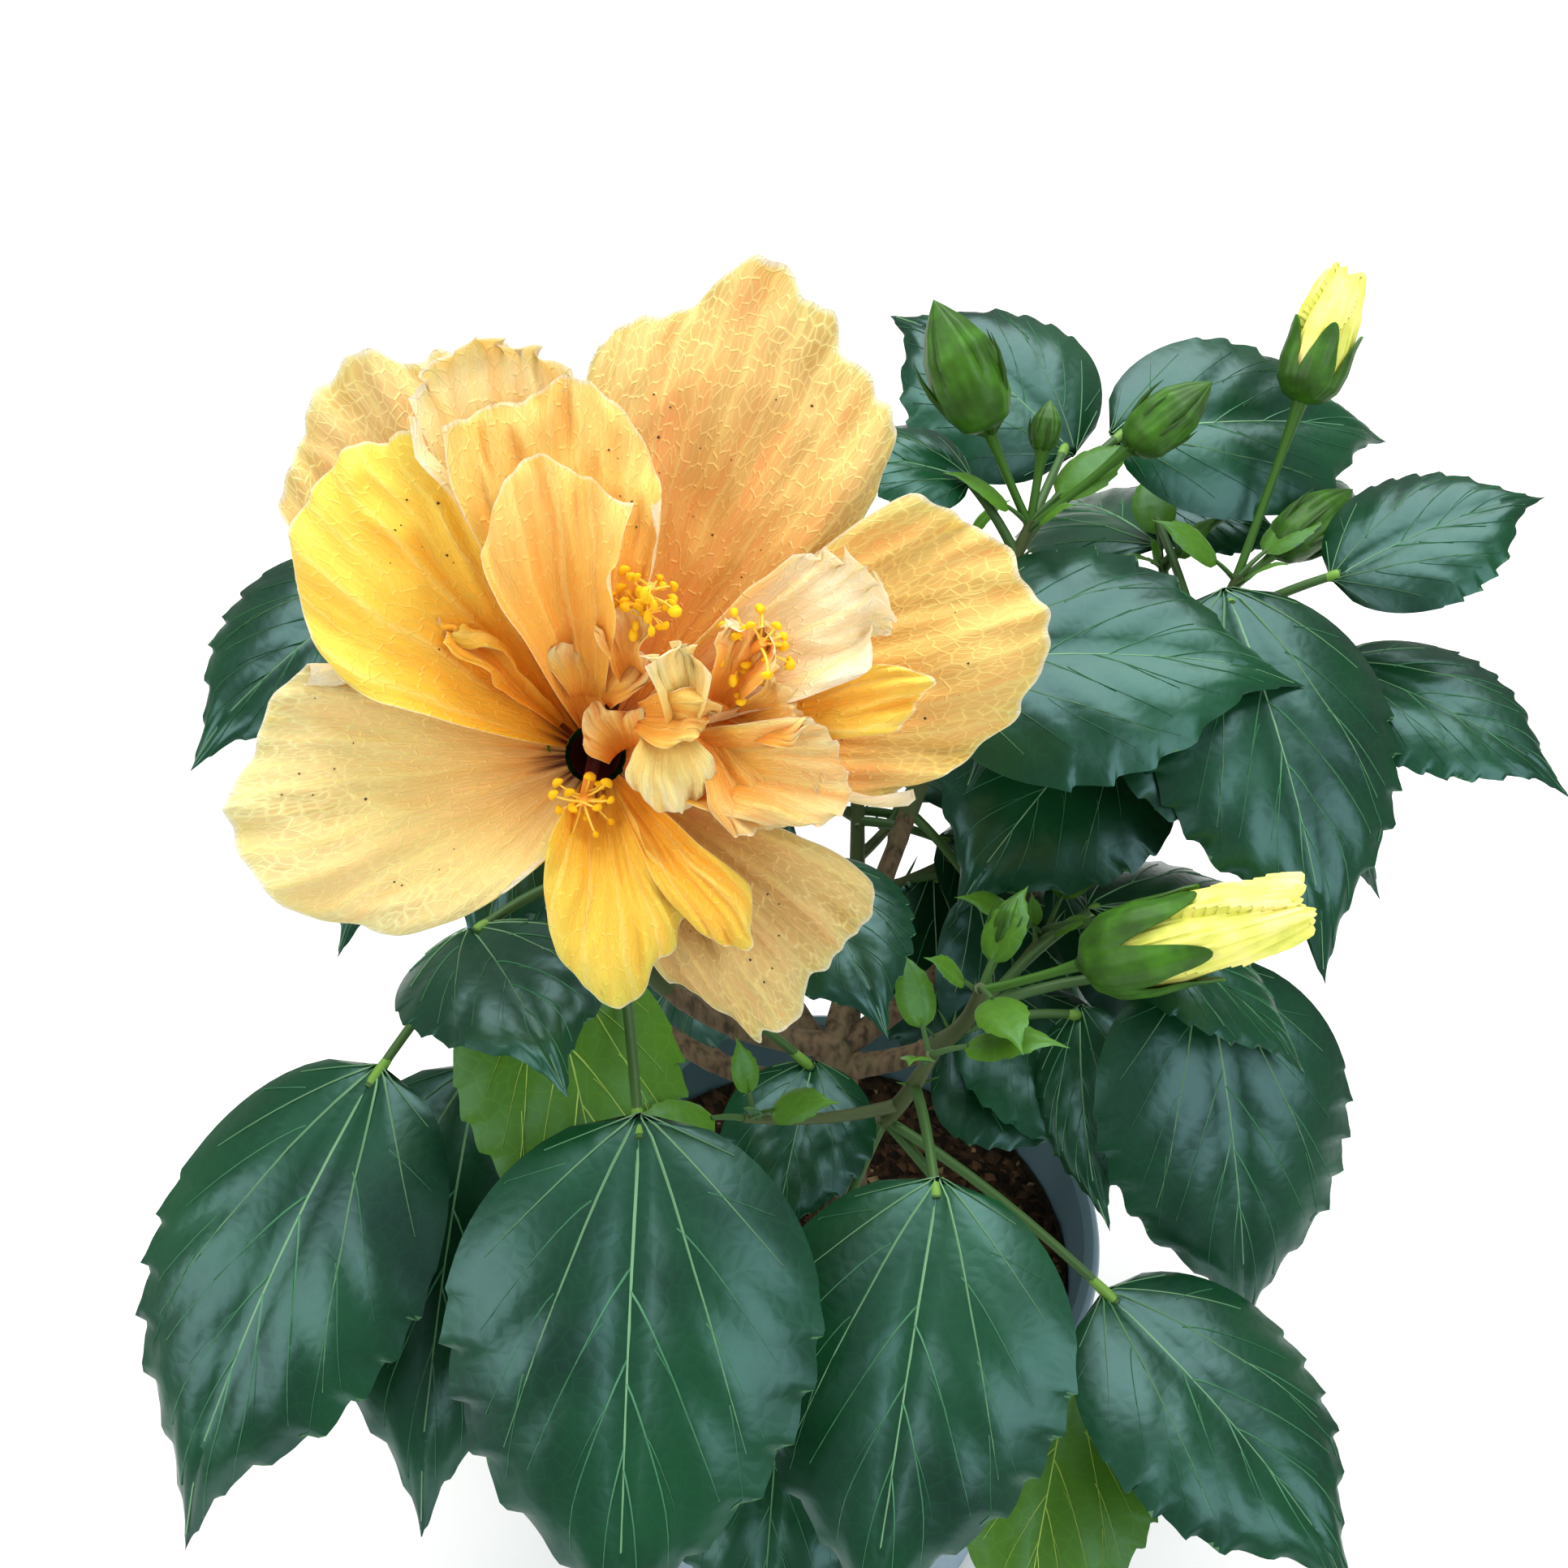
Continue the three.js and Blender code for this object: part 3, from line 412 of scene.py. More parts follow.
def bend(line, t):
    """Points of a curve with one control point: (1-t)^2 a + 2 t (1-t) b + t^2 c."""
    a, b, c = (np.asarray(p, float) for p in line)
    t = np.asarray(t, float)[..., None]
    return (1 - t) ** 2 * a + 2 * t * (1 - t) * b + t**2 * c


def seeded(seed):
    """The source's numbers in a fixed order: state = state x 16807 mod 2147483647, from low to high."""
    state = seed * 7919

    def draw(low=0.0, high=1.0):
        nonlocal state
        state = state * 16807 % 2147483647
        return low + (high - low) * state / 2147483647

    return draw


def bumps(points, size, seed, waves=9):
    """A smooth uneven field from -1 to 1: the mean of sines along random directions, about size across."""
    rng = np.random.default_rng(seed)
    ways = unit(rng.normal(size=(waves, 3))) * (2 * np.pi / size) * rng.uniform(0.6, 1.5, (waves, 1))
    return np.sin(points @ ways.T + rng.uniform(0, 2 * np.pi, waves)).mean(axis=-1) * 1.8


def grid_faces(rows, columns, closed=False):
    """Four-sided faces of a grid of points, by row. A closed grid's last column joins its first."""
    r, c = np.meshgrid(np.arange(rows - 1), np.arange(columns if closed else columns - 1), indexing="ij")
    d = (c + 1) % columns
    corners = [r * columns + c, (r + 1) * columns + c, (r + 1) * columns + d, r * columns + d]
    return np.stack(corners, -1).reshape(-1, 4)


def grain_faces(count):
    """Three-sided faces of many grains, whose corners follow each other in GRAIN_CORNERS' order."""
    return GRAIN_FACES[None] + len(GRAIN_CORNERS) * np.arange(count)[:, None, None]


def ring_angles(sides):
    """The angles of a ring's points: 2 pi k / sides."""
    return 2 * np.pi * np.arange(sides) / sides


def around(a, u, v):
    """Unit vectors u cos a + v sin a, for each angle of a ring and each pair of vectors across its axis."""
    return np.cos(a)[:, None] * u[..., None, :] + np.sin(a)[:, None] * v[..., None, :]


def place_map(rows, columns, cell):
    """Map coordinates of a grid in a cell, within a thin margin. A cell is left, foot, width and height."""
    left, foot, width, height = cell
    v, u = np.meshgrid(np.linspace(0.03, 0.97, rows), np.linspace(0.03, 0.97, columns), indexing="ij")
    return np.stack([left + width * u, foot + height * v], -1).reshape(-1, 2)


def shell(surface, thickness, slots, pattern, cell=(0, 0, 1, 1), **maps):
    """A closed thin body round a grid: points half a thickness to either side of it along its normal. The
    normal is the cross product of the grid's two directions. The two layers meet at the border, where
    thickness is 0."""
    rows, columns = surface.shape[:2]
    normal = unit(np.cross(np.gradient(surface, axis=0), np.gradient(surface, axis=1)))
    offset = 0.5 * thickness[..., None] * normal
    faces = grid_faces(rows, columns)
    left, foot, width, height = cell
    parts = []
    for side, order, slot in ((1, faces, slots[0]), (-1, faces[:, ::-1], slots[1])):
        half = (left + (0 if side > 0 else 0.5 * width), foot, 0.5 * width, height)
        parts.append(
            {
                "points": (surface + side * offset).reshape(-1, 3),
                "faces": order,
                "slot": slot,
                "pattern": pattern.reshape(-1, 2),
                "place": place_map(rows, columns, half),
                **maps,
            }
        )
    return parts


def tubes(paths, radii, sides, slot=0):
    """Closed round limbs along many paths at once. A ring of each is centre + radius (u cos a + v sin a),
    where u and v stand across the path, and a first and last ring of no radius close it."""
    paths = np.asarray(paths, float)
    count, steps = paths.shape[:2]
    radii = np.broadcast_to(np.asarray(radii, float), (count, steps))
    along = unit(np.gradient(paths, axis=1))
    mean = unit(paths[:, -1] - paths[:, 0])
    spare = np.eye(3)[np.argmin(np.abs(mean), axis=1)][:, None, :]
    u = unit(np.cross(along, spare))
    v = np.cross(along, u)
    paths = np.concatenate([paths[:, :1], paths, paths[:, -1:]], axis=1)
    u, v = (np.concatenate([w[:, :1], w, w[:, -1:]], axis=1) for w in (u, v))
    radii = np.pad(radii, ((0, 0), (1, 1)))
    points = paths[:, :, None, :] + radii[:, :, None, None] * around(ring_angles(sides), u, v)
    one = grid_faces(steps + 2, sides, closed=True)[:, ::-1]
    faces = one[None] + (np.arange(count) * (steps + 2) * sides)[:, None, None]
    return {"points": points.reshape(-1, 3), "faces": faces.reshape(-1, 4), "slot": slot}


def wrapped(rings, cell=(0, 0, 1, 1), order=1):
    """A body from rings of points. The first point of each ring is repeated at its end, so the map has a seam
    there, and order -1 turns the faces round."""
    rows, sides = rings.shape[:2]
    points = np.concatenate([rings, rings[:, :1]], axis=1).reshape(-1, 3)
    faces = grid_faces(rows, sides + 1)[:, ::order]
    return {"points": points, "faces": faces, "slot": 0, "place": place_map(rows, sides + 1, cell)}


def joined(name, parts, materials, sharp=50.0):
    """One piece of parts in millimetres. Points that meet are merged, so poles and seams are closed."""
    parts = [p for p in parts if len(p["points"])]
    starts = np.cumsum([0] + [len(p["points"]) for p in parts])
    points = np.concatenate([p["points"] for p in parts]) * METRE
    corners = [p["faces"] + start for p, start in zip(parts, starts)]
    sizes = np.concatenate([np.full(len(f), f.shape[1]) for f in corners])
    flat = np.concatenate([f.ravel() for f in corners]).astype(np.int32)
    slots = np.concatenate([np.full(len(p["faces"]), p["slot"]) for p in parts]).astype(np.int32)
    mesh = bpy.data.meshes.new(name)
    mesh.vertices.add(len(points))
    mesh.vertices.foreach_set("co", points.astype(np.float32).ravel())
    mesh.loops.add(len(flat))
    mesh.loops.foreach_set("vertex_index", flat)
    mesh.polygons.add(len(sizes))
    mesh.polygons.foreach_set("loop_start", (np.cumsum(sizes) - sizes).astype(np.int32))
    mesh.polygons.foreach_set("material_index", slots)
    for key, title in (("pattern", "Pattern"), ("share", "Share"), ("place", "OFBake")):
        if any(key in p for p in parts):
            values = np.concatenate([p.get(key, np.zeros((len(p["points"]), 2))) for p in parts])
            layer = mesh.uv_layers.new(name=title)
            layer.data.foreach_set("uv", values[flat].astype(np.float32).ravel())
    mesh.update(calc_edges=True)
    work = bmesh.new()
    work.from_mesh(mesh)
    bmesh.ops.remove_doubles(work, verts=work.verts, dist=1e-6)
    bmesh.ops.dissolve_degenerate(work, edges=work.edges, dist=1e-7)
    work.to_mesh(mesh)
    work.free()
    mesh.polygons.foreach_set("use_smooth", np.ones(len(mesh.polygons), bool))
    mesh.set_sharp_from_angle(angle=np.radians(sharp))
    if "Pattern" in mesh.uv_layers:
        mesh.uv_layers["Pattern"].active_render = True
    for material in materials:
        mesh.materials.append(material)
    piece = bpy.data.objects.new(name, mesh)
    bpy.context.scene.collection.objects.link(piece)
    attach(piece, "root")
    return piece


def node_points(name):
    """A CAD node's own vertices, in millimetres."""
    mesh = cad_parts[name].data
    points = np.empty(3 * len(mesh.vertices))
    mesh.vertices.foreach_get("co", points)
    return points.reshape(-1, 3) / METRE


# Materials

def set_inputs(tree, node, inputs):
    """Sets a node's inputs, given by name or number. A socket, or a node's first output in use, is linked,
    and anything else is a value."""
    for key, value in inputs.items():
        if isinstance(value, bpy.types.Node):
            value = next(socket for socket in value.outputs if socket.enabled)
        if isinstance(value, bpy.types.NodeSocket):
            tree.links.new(value, node.inputs[key])
        else:
            node.inputs[key].default_value = value


def add_node(tree, kind, inputs=None, stops=(), **settings):
    """Adds a node with its settings and inputs, and the places and colours of a ramp's stops. A Mix node has
    its factor at 0, numbers at 2 and 3, and colours at 6 and 7."""
    made = tree.nodes.new(kind)
    for key, value in settings.items():
        setattr(made, key, value)
    set_inputs(tree, made, inputs or {})
    for i, (place, colour) in enumerate(stops):
        stop = made.color_ramp.elements[i] if i < 2 else made.color_ramp.elements.new(place)
        stop.position, stop.color = place, colour
    return made


def new_material(name, **inputs):
    """A material of one shader, with the shader's own values."""
    material = bpy.data.materials.new(name)
    material.use_nodes = True
    tree = material.node_tree
    shader = tree.nodes["Principled BSDF"]
    set_inputs(tree, shader, {key.replace("_", " "): value for key, value in inputs.items()})
    return material, tree, shader


def moulded_polypropylene(settings):
    """Moulded polypropylene: an even satin skin with a fine texture from the mould, slightly cloudy colour,
    and duller scuffs about 2 mm across."""
    material, tree, shader = new_material("moulded_polypropylene", Roughness=0.42, IOR=1.49)
    place = add_node(tree, "ShaderNodeTexCoord").outputs["Object"]
    cloud = add_node(tree, "ShaderNodeTexNoise", {"Vector": place, "Scale": 1 / 0.03, "Detail": 4.0})
    scuff = add_node(tree, "ShaderNodeTexNoise", {"Vector": place, "Scale": 1 / 0.002, "Detail": 6.0})
    plastic = settings.plastic
    tone = add_node(
        tree, "ShaderNodeValToRGB", {"Fac": cloud},
        stops=[(0.3, shade(plastic, 0.9)), (0.5, plastic), (0.75, shade(plastic, 1.16))],
    )
    rough = add_node(tree, "ShaderNodeMapRange", {"Value": scuff, "To Min": 0.34, "To Max": 0.56})
    # The mould's grain is about 0.1 mm, drawn at 0.7 mm so that it shows.
    grain = add_node(tree, "ShaderNodeTexNoise", {"Vector": place, "Scale": 1 / 0.0007, "Detail": 2.0})
    skin = add_node(tree, "ShaderNodeBump", {"Height": grain, "Strength": 0.25, "Distance": 0.0001})
    set_inputs(tree, shader, {"Base Color": tone, "Roughness": rough, "Normal": skin})
    return material


def damp_peat(settings):
    """Damp peat: dark crumbs of a few millimetres, lighter on their dry faces, with no shine."""
    material, tree, shader = new_material("damp_peat", Roughness=0.95, IOR=1.35)
    place = add_node(tree, "ShaderNodeTexCoord").outputs["Object"]
    crumbs = add_node(
        tree, "ShaderNodeTexNoise", {"Vector": place, "Scale": 1 / 0.0045, "Detail": 8.0, "Roughness": 0.7}
    )
    tone = add_node(
        tree, "ShaderNodeValToRGB", {"Fac": crumbs}, stops=[(0.35, settings.soil), (0.75, settings.grit)]
    )
    rise = add_node(tree, "ShaderNodeBump", {"Height": crumbs, "Strength": 0.9, "Distance": 0.0008})
    set_inputs(tree, shader, {"Base Color": tone, "Normal": rise})
    return material


def grey_brown_bark(settings):
    """Young woody bark: grey-brown skin with darker cracks along the stem, paler ridges between them, and a
    green cast in patches."""
    material, tree, shader = new_material("grey_brown_bark", Roughness=0.85, IOR=1.4)
    place = add_node(tree, "ShaderNodeTexCoord").outputs["Object"]
    # Cracks 1.6 mm apart and 7 mm long, and patches of 8 mm
    drawn = add_node(tree, "ShaderNodeMapping", {"Vector": place, "Scale": (1.0, 1.0, 0.22)})
    crack = add_node(tree, "ShaderNodeTexNoise", {"Vector": drawn, "Scale": 1 / 0.0016, "Detail": 6.0})
    cloud = add_node(tree, "ShaderNodeTexNoise", {"Vector": place, "Scale": 1 / 0.008, "Detail": 3.0})
    tone = add_node(
        tree, "ShaderNodeValToRGB", {"Fac": crack},
        stops=[(0.3, settings.crack), (0.5, settings.bark), (0.75, shade(settings.bark, 1.35))],
    )
    green = add_node(
        tree, "ShaderNodeMapRange", {"Value": cloud, "From Min": 0.5, "From Max": 0.8, "To Max": 0.5}
    )
    both = add_node(tree, "ShaderNodeMix", {0: green, 6: tone, 7: settings.shoot}, data_type="RGBA")
    rise = add_node(tree, "ShaderNodeBump", {"Height": crack, "Strength": 0.6, "Distance": 0.0003})
    set_inputs(tree, shader, {"Base Color": both, "Normal": rise})
    return material


def waxy_leaf(name, dark, light, roughness, index):
    """A living leaf: dark waxy skin, a little lighter in clouds, over a faint net of fine veins about 3 mm
    apart that pulls its skin into small cushions. Its wax gives a cool, blue-green shine."""
    material, tree, shader = new_material(
        name, Roughness=roughness, IOR=index, Specular_Tint=(0.46, 0.8, 0.84, 1.0)
    )
    place = add_node(tree, "ShaderNodeTexCoord").outputs["Object"]
    blade = add_node(tree, "ShaderNodeUVMap", uv_map="Pattern")
    cloud = add_node(tree, "ShaderNodeTexNoise", {"Vector": place, "Scale": 1 / 0.03, "Detail": 3.0})
    tone = add_node(tree, "ShaderNodeValToRGB", {"Fac": cloud}, stops=[(0.34, dark), (0.68, light)])
    net = add_node(
        tree, "ShaderNodeTexVoronoi", {"Vector": blade, "Scale": 1 / 0.003}, feature="DISTANCE_TO_EDGE",
        voronoi_dimensions="2D",
    )
    thread = add_node(
        tree, "ShaderNodeMapRange", {"Value": net, "From Max": 0.1, "To Min": 0.13, "To Max": 0.0}
    )
    skin = add_node(tree, "ShaderNodeMix", {0: thread, 6: tone, 7: shade(light, 1.9)}, data_type="RGBA")
    rise = add_node(tree, "ShaderNodeBump", {"Height": net, "Strength": 0.22, "Distance": 0.00025})
    set_inputs(tree, shader, {"Base Color": skin, "Normal": rise})
    return material


def young_tissue(name, dark, middle, light, size):
    """Young green or yellow tissue: three tones in soft patches of a size in metres, and a slightly uneven
    satin skin."""
    material, tree, shader = new_material(name, Roughness=0.45, IOR=1.4)
    place = add_node(tree, "ShaderNodeTexCoord").outputs["Object"]
    patch = add_node(tree, "ShaderNodeTexNoise", {"Vector": place, "Scale": 1 / size, "Detail": 4.0})
    tone = add_node(
        tree, "ShaderNodeValToRGB", {"Fac": patch}, stops=[(0.3, dark), (0.5, middle), (0.72, light)]
    )
    rise = add_node(tree, "ShaderNodeBump", {"Height": patch, "Strength": 0.3, "Distance": 0.0004})
    set_inputs(tree, shader, {"Base Color": tone, "Normal": rise})
    return material


def plain_skin(name, colour, roughness):
    """A plain matt or satin skin of one colour, for the floor and for what is too small on the plant for a
    pattern to show."""
    return new_material(name, Roughness=roughness, IOR=1.4, Base_Color=colour)[0]


def petal_tissue(settings, tint):
    """Thin petal tissue: colours run from the eye to the margin in streaks, over ribs that fan out and a net
    of pale veins between thin, slightly green windows, with a soft crepe skin and a cream rim. Pattern gives
    the place on the flat petal in metres, across at VEIN_RADIUS and out from the eye, and Share the same from
    0 to 1."""
    material, tree, shader = new_material(
        f"petal_tissue_{tint}", Roughness=0.55, IOR=1.33, Subsurface_Weight=0.45, Subsurface_Scale=0.0015,
        Subsurface_Radius=(1.0, 0.55, 0.2),
    )
    eye, root, middle, margin, streak = (linear(c) for c in PETAL_TINTS[tint])
    thin_share, thread_share = (0.85, 0.55) if tint in THIN_TISSUE else (0.35, 0.3)
    flat = add_node(tree, "ShaderNodeUVMap", uv_map="Pattern")
    share = add_node(tree, "ShaderNodeUVMap", uv_map="Share")
    across, along, _ = add_node(tree, "ShaderNodeSeparateXYZ", {"Vector": share}).outputs
    # The pattern strays about 1 mm to either side, in waves of 9 mm.
    stray = add_node(tree, "ShaderNodeTexNoise", {"Vector": flat, "Scale": 1 / 0.009, "Detail": 2.0})
    bent = add_node(
        tree, "ShaderNodeVectorMath", {0: stray.outputs["Color"], 1: (0.0022, 0.0022, 0.0), 2: flat},
        operation="MULTIPLY_ADD",
    )
    # Streaks about 5 mm wide and 35 mm long, which also shift the colours along the petal
    drawn = add_node(tree, "ShaderNodeMapping", {"Vector": bent, "Scale": (1 / 0.005, 1 / 0.035, 1.0)})
    cloud = add_node(tree, "ShaderNodeTexNoise", {"Vector": drawn, "Scale": 1.0, "Detail": 3.0})
    level = add_node(tree, "ShaderNodeMath", {0: cloud, 1: 0.3, 2: along}, operation="MULTIPLY_ADD")
    shifted = add_node(tree, "ShaderNodeMath", {0: level, 1: 0.15}, operation="SUBTRACT")
    # The eye stop is the petal's maroon base. On the pale and bright tints it is also painted shade of the
    # folds round the eye.
    tone = add_node(
        tree, "ShaderNodeValToRGB", {"Fac": shifted},
        stops=[(0.0, eye), (0.12, root), (0.55, middle), (0.95, margin)],
    )
    warm = add_node(
        tree, "ShaderNodeMapRange", {"Value": cloud, "From Min": 0.46, "From Max": 0.66, "To Max": 0.75}
    )
    streaked = add_node(tree, "ShaderNodeMix", {0: warm, 6: tone, 7: streak}, data_type="RGBA")
    # The net's cells are about 1 mm wide and 2.8 mm long, and 0.8 mm wide past the middle, where the veins
    # fork. The real net is finer still, and is drawn coarser so that it shows.
    nets = []
    for wide in (0.001, 0.0008):
        cells = add_node(tree, "ShaderNodeMapping", {"Vector": bent, "Scale": (1 / wide, 1 / 0.0028, 1.0)})
        net = add_node(
            tree, "ShaderNodeTexVoronoi", {"Vector": cells, "Scale": 1.0}, feature="DISTANCE_TO_EDGE",
            voronoi_dimensions="2D",
        )
        nets.append(net)
    fan, reach, _ = add_node(tree, "ShaderNodeSeparateXYZ", {"Vector": bent}).outputs
    forked = add_node(tree, "ShaderNodeMapRange", {"Value": reach, "From Min": 0.04, "From Max": 0.052})
    between = add_node(tree, "ShaderNodeMix", {0: forked, 2: nets[0], 3: nets[1]})
    thread = add_node(
        tree, "ShaderNodeMapRange",
        {"Value": between, "From Min": 0.02, "From Max": 0.11, "To Min": 1.0, "To Max": 0.0},
    )
    # Ribs fan out 8 mm apart where the petal is 45 mm from the eye, and 4 mm apart where the veins fork. Fine
    # ones are 1.5 mm apart.
    ribs = []
    for gap in (0.008, 0.004, 0.0015):
        turn = add_node(tree, "ShaderNodeMath", {0: fan, 1: np.pi / gap}, operation="MULTIPLY")
        wave = add_node(tree, "ShaderNodeMath", {0: turn}, operation="SINE")
        size = add_node(tree, "ShaderNodeMath", {0: wave}, operation="ABSOLUTE")
        crest = {"Value": size, "From Max": 0.38, "To Min": 1.0, "To Max": 0.0}
        ribs.append(add_node(tree, "ShaderNodeMapRange", crest))
    rib = add_node(tree, "ShaderNodeMix", {0: forked, 2: ribs[0], 3: ribs[1]})
    fine = add_node(tree, "ShaderNodeMath", {0: ribs[2], 1: 0.35}, operation="MULTIPLY")
    thread = add_node(tree, "ShaderNodeMath", {0: thread, 1: fine}, operation="MAXIMUM")
    # Windows show more towards the margin, between the veins, and in patches.
    outer = add_node(
        tree, "ShaderNodeMapRange",
        {"Value": along, "From Min": 0.2, "From Max": 0.9, "To Min": 0.1, "To Max": thin_share},
    )
    open_part = add_node(tree, "ShaderNodeMapRange", {"Value": between, "From Min": 0.06, "From Max": 0.22})
    patch = add_node(
        tree, "ShaderNodeMapRange",
        {"Value": cloud, "From Min": 0.3, "From Max": 0.62, "To Min": 1.0, "To Max": 0.25},
    )
    thin = add_node(tree, "ShaderNodeMath", {0: outer, 1: open_part}, operation="MULTIPLY")
    seen = add_node(tree, "ShaderNodeMath", {0: thin, 1: patch}, operation="MULTIPLY")
    windowed = add_node(tree, "ShaderNodeMix", {0: seen, 6: streaked, 7: settings.window}, data_type="RGBA")
    rib_part = add_node(tree, "ShaderNodeMath", {0: rib, 1: 0.45}, operation="MULTIPLY")
    thread_part = add_node(tree, "ShaderNodeMath", {0: thread, 1: thread_share}, operation="MULTIPLY")
    veins = add_node(tree, "ShaderNodeMath", {0: rib_part, 1: thread_part}, operation="MAXIMUM")
    # Veins fade towards the eye.
    shown = add_node(
        tree, "ShaderNodeMapRange",
        {"Value": along, "From Min": 0.1, "From Max": 0.5, "To Min": 0.1, "To Max": 0.9},
    )
    pale = add_node(tree, "ShaderNodeMath", {0: veins, 1: shown}, operation="MULTIPLY")
    veined = add_node(tree, "ShaderNodeMix", {0: pale, 6: windowed, 7: settings.vein}, data_type="RGBA")
    # A thin cream line at the edge: the greater of along and of how far the place is from the petal's middle
    aside = add_node(tree, "ShaderNodeMath", {0: across, 1: 0.5}, operation="SUBTRACT")
    off = add_node(tree, "ShaderNodeMath", {0: aside}, operation="ABSOLUTE")
    twice = add_node(tree, "ShaderNodeMath", {0: off, 1: 2.0}, operation="MULTIPLY")
    border = add_node(tree, "ShaderNodeMath", {0: twice, 1: along}, operation="MAXIMUM")
    rim = add_node(
        tree, "ShaderNodeMapRange", {"Value": border, "From Min": 0.982, "From Max": 0.997, "To Max": 0.6}
    )
    tissue = add_node(tree, "ShaderNodeMix", {0: rim, 6: veined, 7: settings.rim}, data_type="RGBA")
    # Crepe folds about 1 mm wide and 6 mm long
    pulled = add_node(tree, "ShaderNodeMapping", {"Vector": bent, "Scale": (1 / 0.001, 1 / 0.006, 1.0)})
    crepe = add_node(tree, "ShaderNodeTexNoise", {"Vector": pulled, "Scale": 1.0, "Detail": 3.0})
    raised = add_node(tree, "ShaderNodeMath", {0: rib, 1: 0.7, 2: thread}, operation="MULTIPLY_ADD")
    height = add_node(tree, "ShaderNodeMath", {0: crepe, 1: 0.9, 2: raised}, operation="MULTIPLY_ADD")
    rise = add_node(tree, "ShaderNodeBump", {"Height": height, "Strength": 0.6, "Distance": 0.0003})
    set_inputs(tree, shader, {"Base Color": tissue, "Normal": rise})
    return material


# The pot and the soil

def inner_radius(pot, z):
    """The pot's inner radius at a height: a straight taper from its floor to just under its rim."""
    low, high = pot.foot_radius / METRE - POT_WALL, (pot.rim_radius - pot.rim_width) / METRE
    return mix(low, high, (z - POT_FLOOR) / (pot.height / METRE - 2 - POT_FLOOR))


class SHRUB_OT_pot(bpy.types.Operator):
    """Makes the moulded pot"""

    bl_idname = "shrub.pot"
    bl_label = "Pot"

    def execute(self, context):
        pot = context.scene.shrub_pot
        height, rim, width = pot.height / METRE, pot.rim_radius / METRE, pot.rim_width / METRE
        foot, under = pot.foot_radius / METRE, (pot.height - pot.collar) / METRE
        neck = rim - 5
        # Radius and height, from the middle of the underside up the outside, over the rim and down the inside
        profile = np.array(
            [
                (0, 0.8), (foot - 7, 0.8), (foot - 6, 0), (foot - 1.6, 0), (foot - 0.5, 0.5), (foot, 1.6),
                (mix(foot, neck, 0.5), mix(1.6, under, 0.5)), (neck - 0.2, under - 2.2),
                (neck + 0.2, under - 0.6), (rim - 2.2, under), (rim - 1.2, under + 0.3),
                (rim - 0.8, under + 1.2), (rim - 0.5, height - 7), (rim - 0.35, height - 5.2),
                (rim, height - 4.2), (rim, height - 1.8), (rim - 0.5, height - 0.7), (rim - 1.6, height),
                (rim - 2.8, height - 0.1), (rim - width + 0.3, height - 0.8), (rim - width, height - 2.2),
                (mix(rim - width, foot - POT_WALL, 0.5), mix(height - 2.2, POT_FLOOR, 0.5)),
                (foot - POT_WALL, POT_FLOOR + 1), (foot - POT_WALL - 1, POT_FLOOR), (0, POT_FLOOR),
            ]
        )
        sides = 180
        a = ring_angles(sides)
        # A turned form: (radius cos a, radius sin a, height) for each point of the profile.
        points = np.stack(
            [
                profile[:, :1] * np.cos(a), profile[:, :1] * np.sin(a),
                np.broadcast_to(profile[:, 1:], (len(profile), sides)),
            ],
            axis=-1,
        )
        piece = joined("moulded_pot", [wrapped(points, order=-1)], [moulded_polypropylene(pot)], sharp=35)
        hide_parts("pot")
        return {"FINISHED"}


def soil_height(x, y):
    """The soil's surface: a low mound at the trunk, hollows about 14 mm across, and crumbs about 3 mm
    across."""
    points = np.stack([x, y, np.zeros_like(x)], axis=-1)
    far = np.hypot(x - TRUNK["foot"][0], y - TRUNK["foot"][1])
    calm = smooth_step(8, 18, far)
    return SOIL_TOP - 0.5 - 1.2 * smooth_step(10, 60, far) + calm * (
        0.9 * bumps(points, 14, 3) + 0.5 * bumps(points, 3.2, 4)
    )


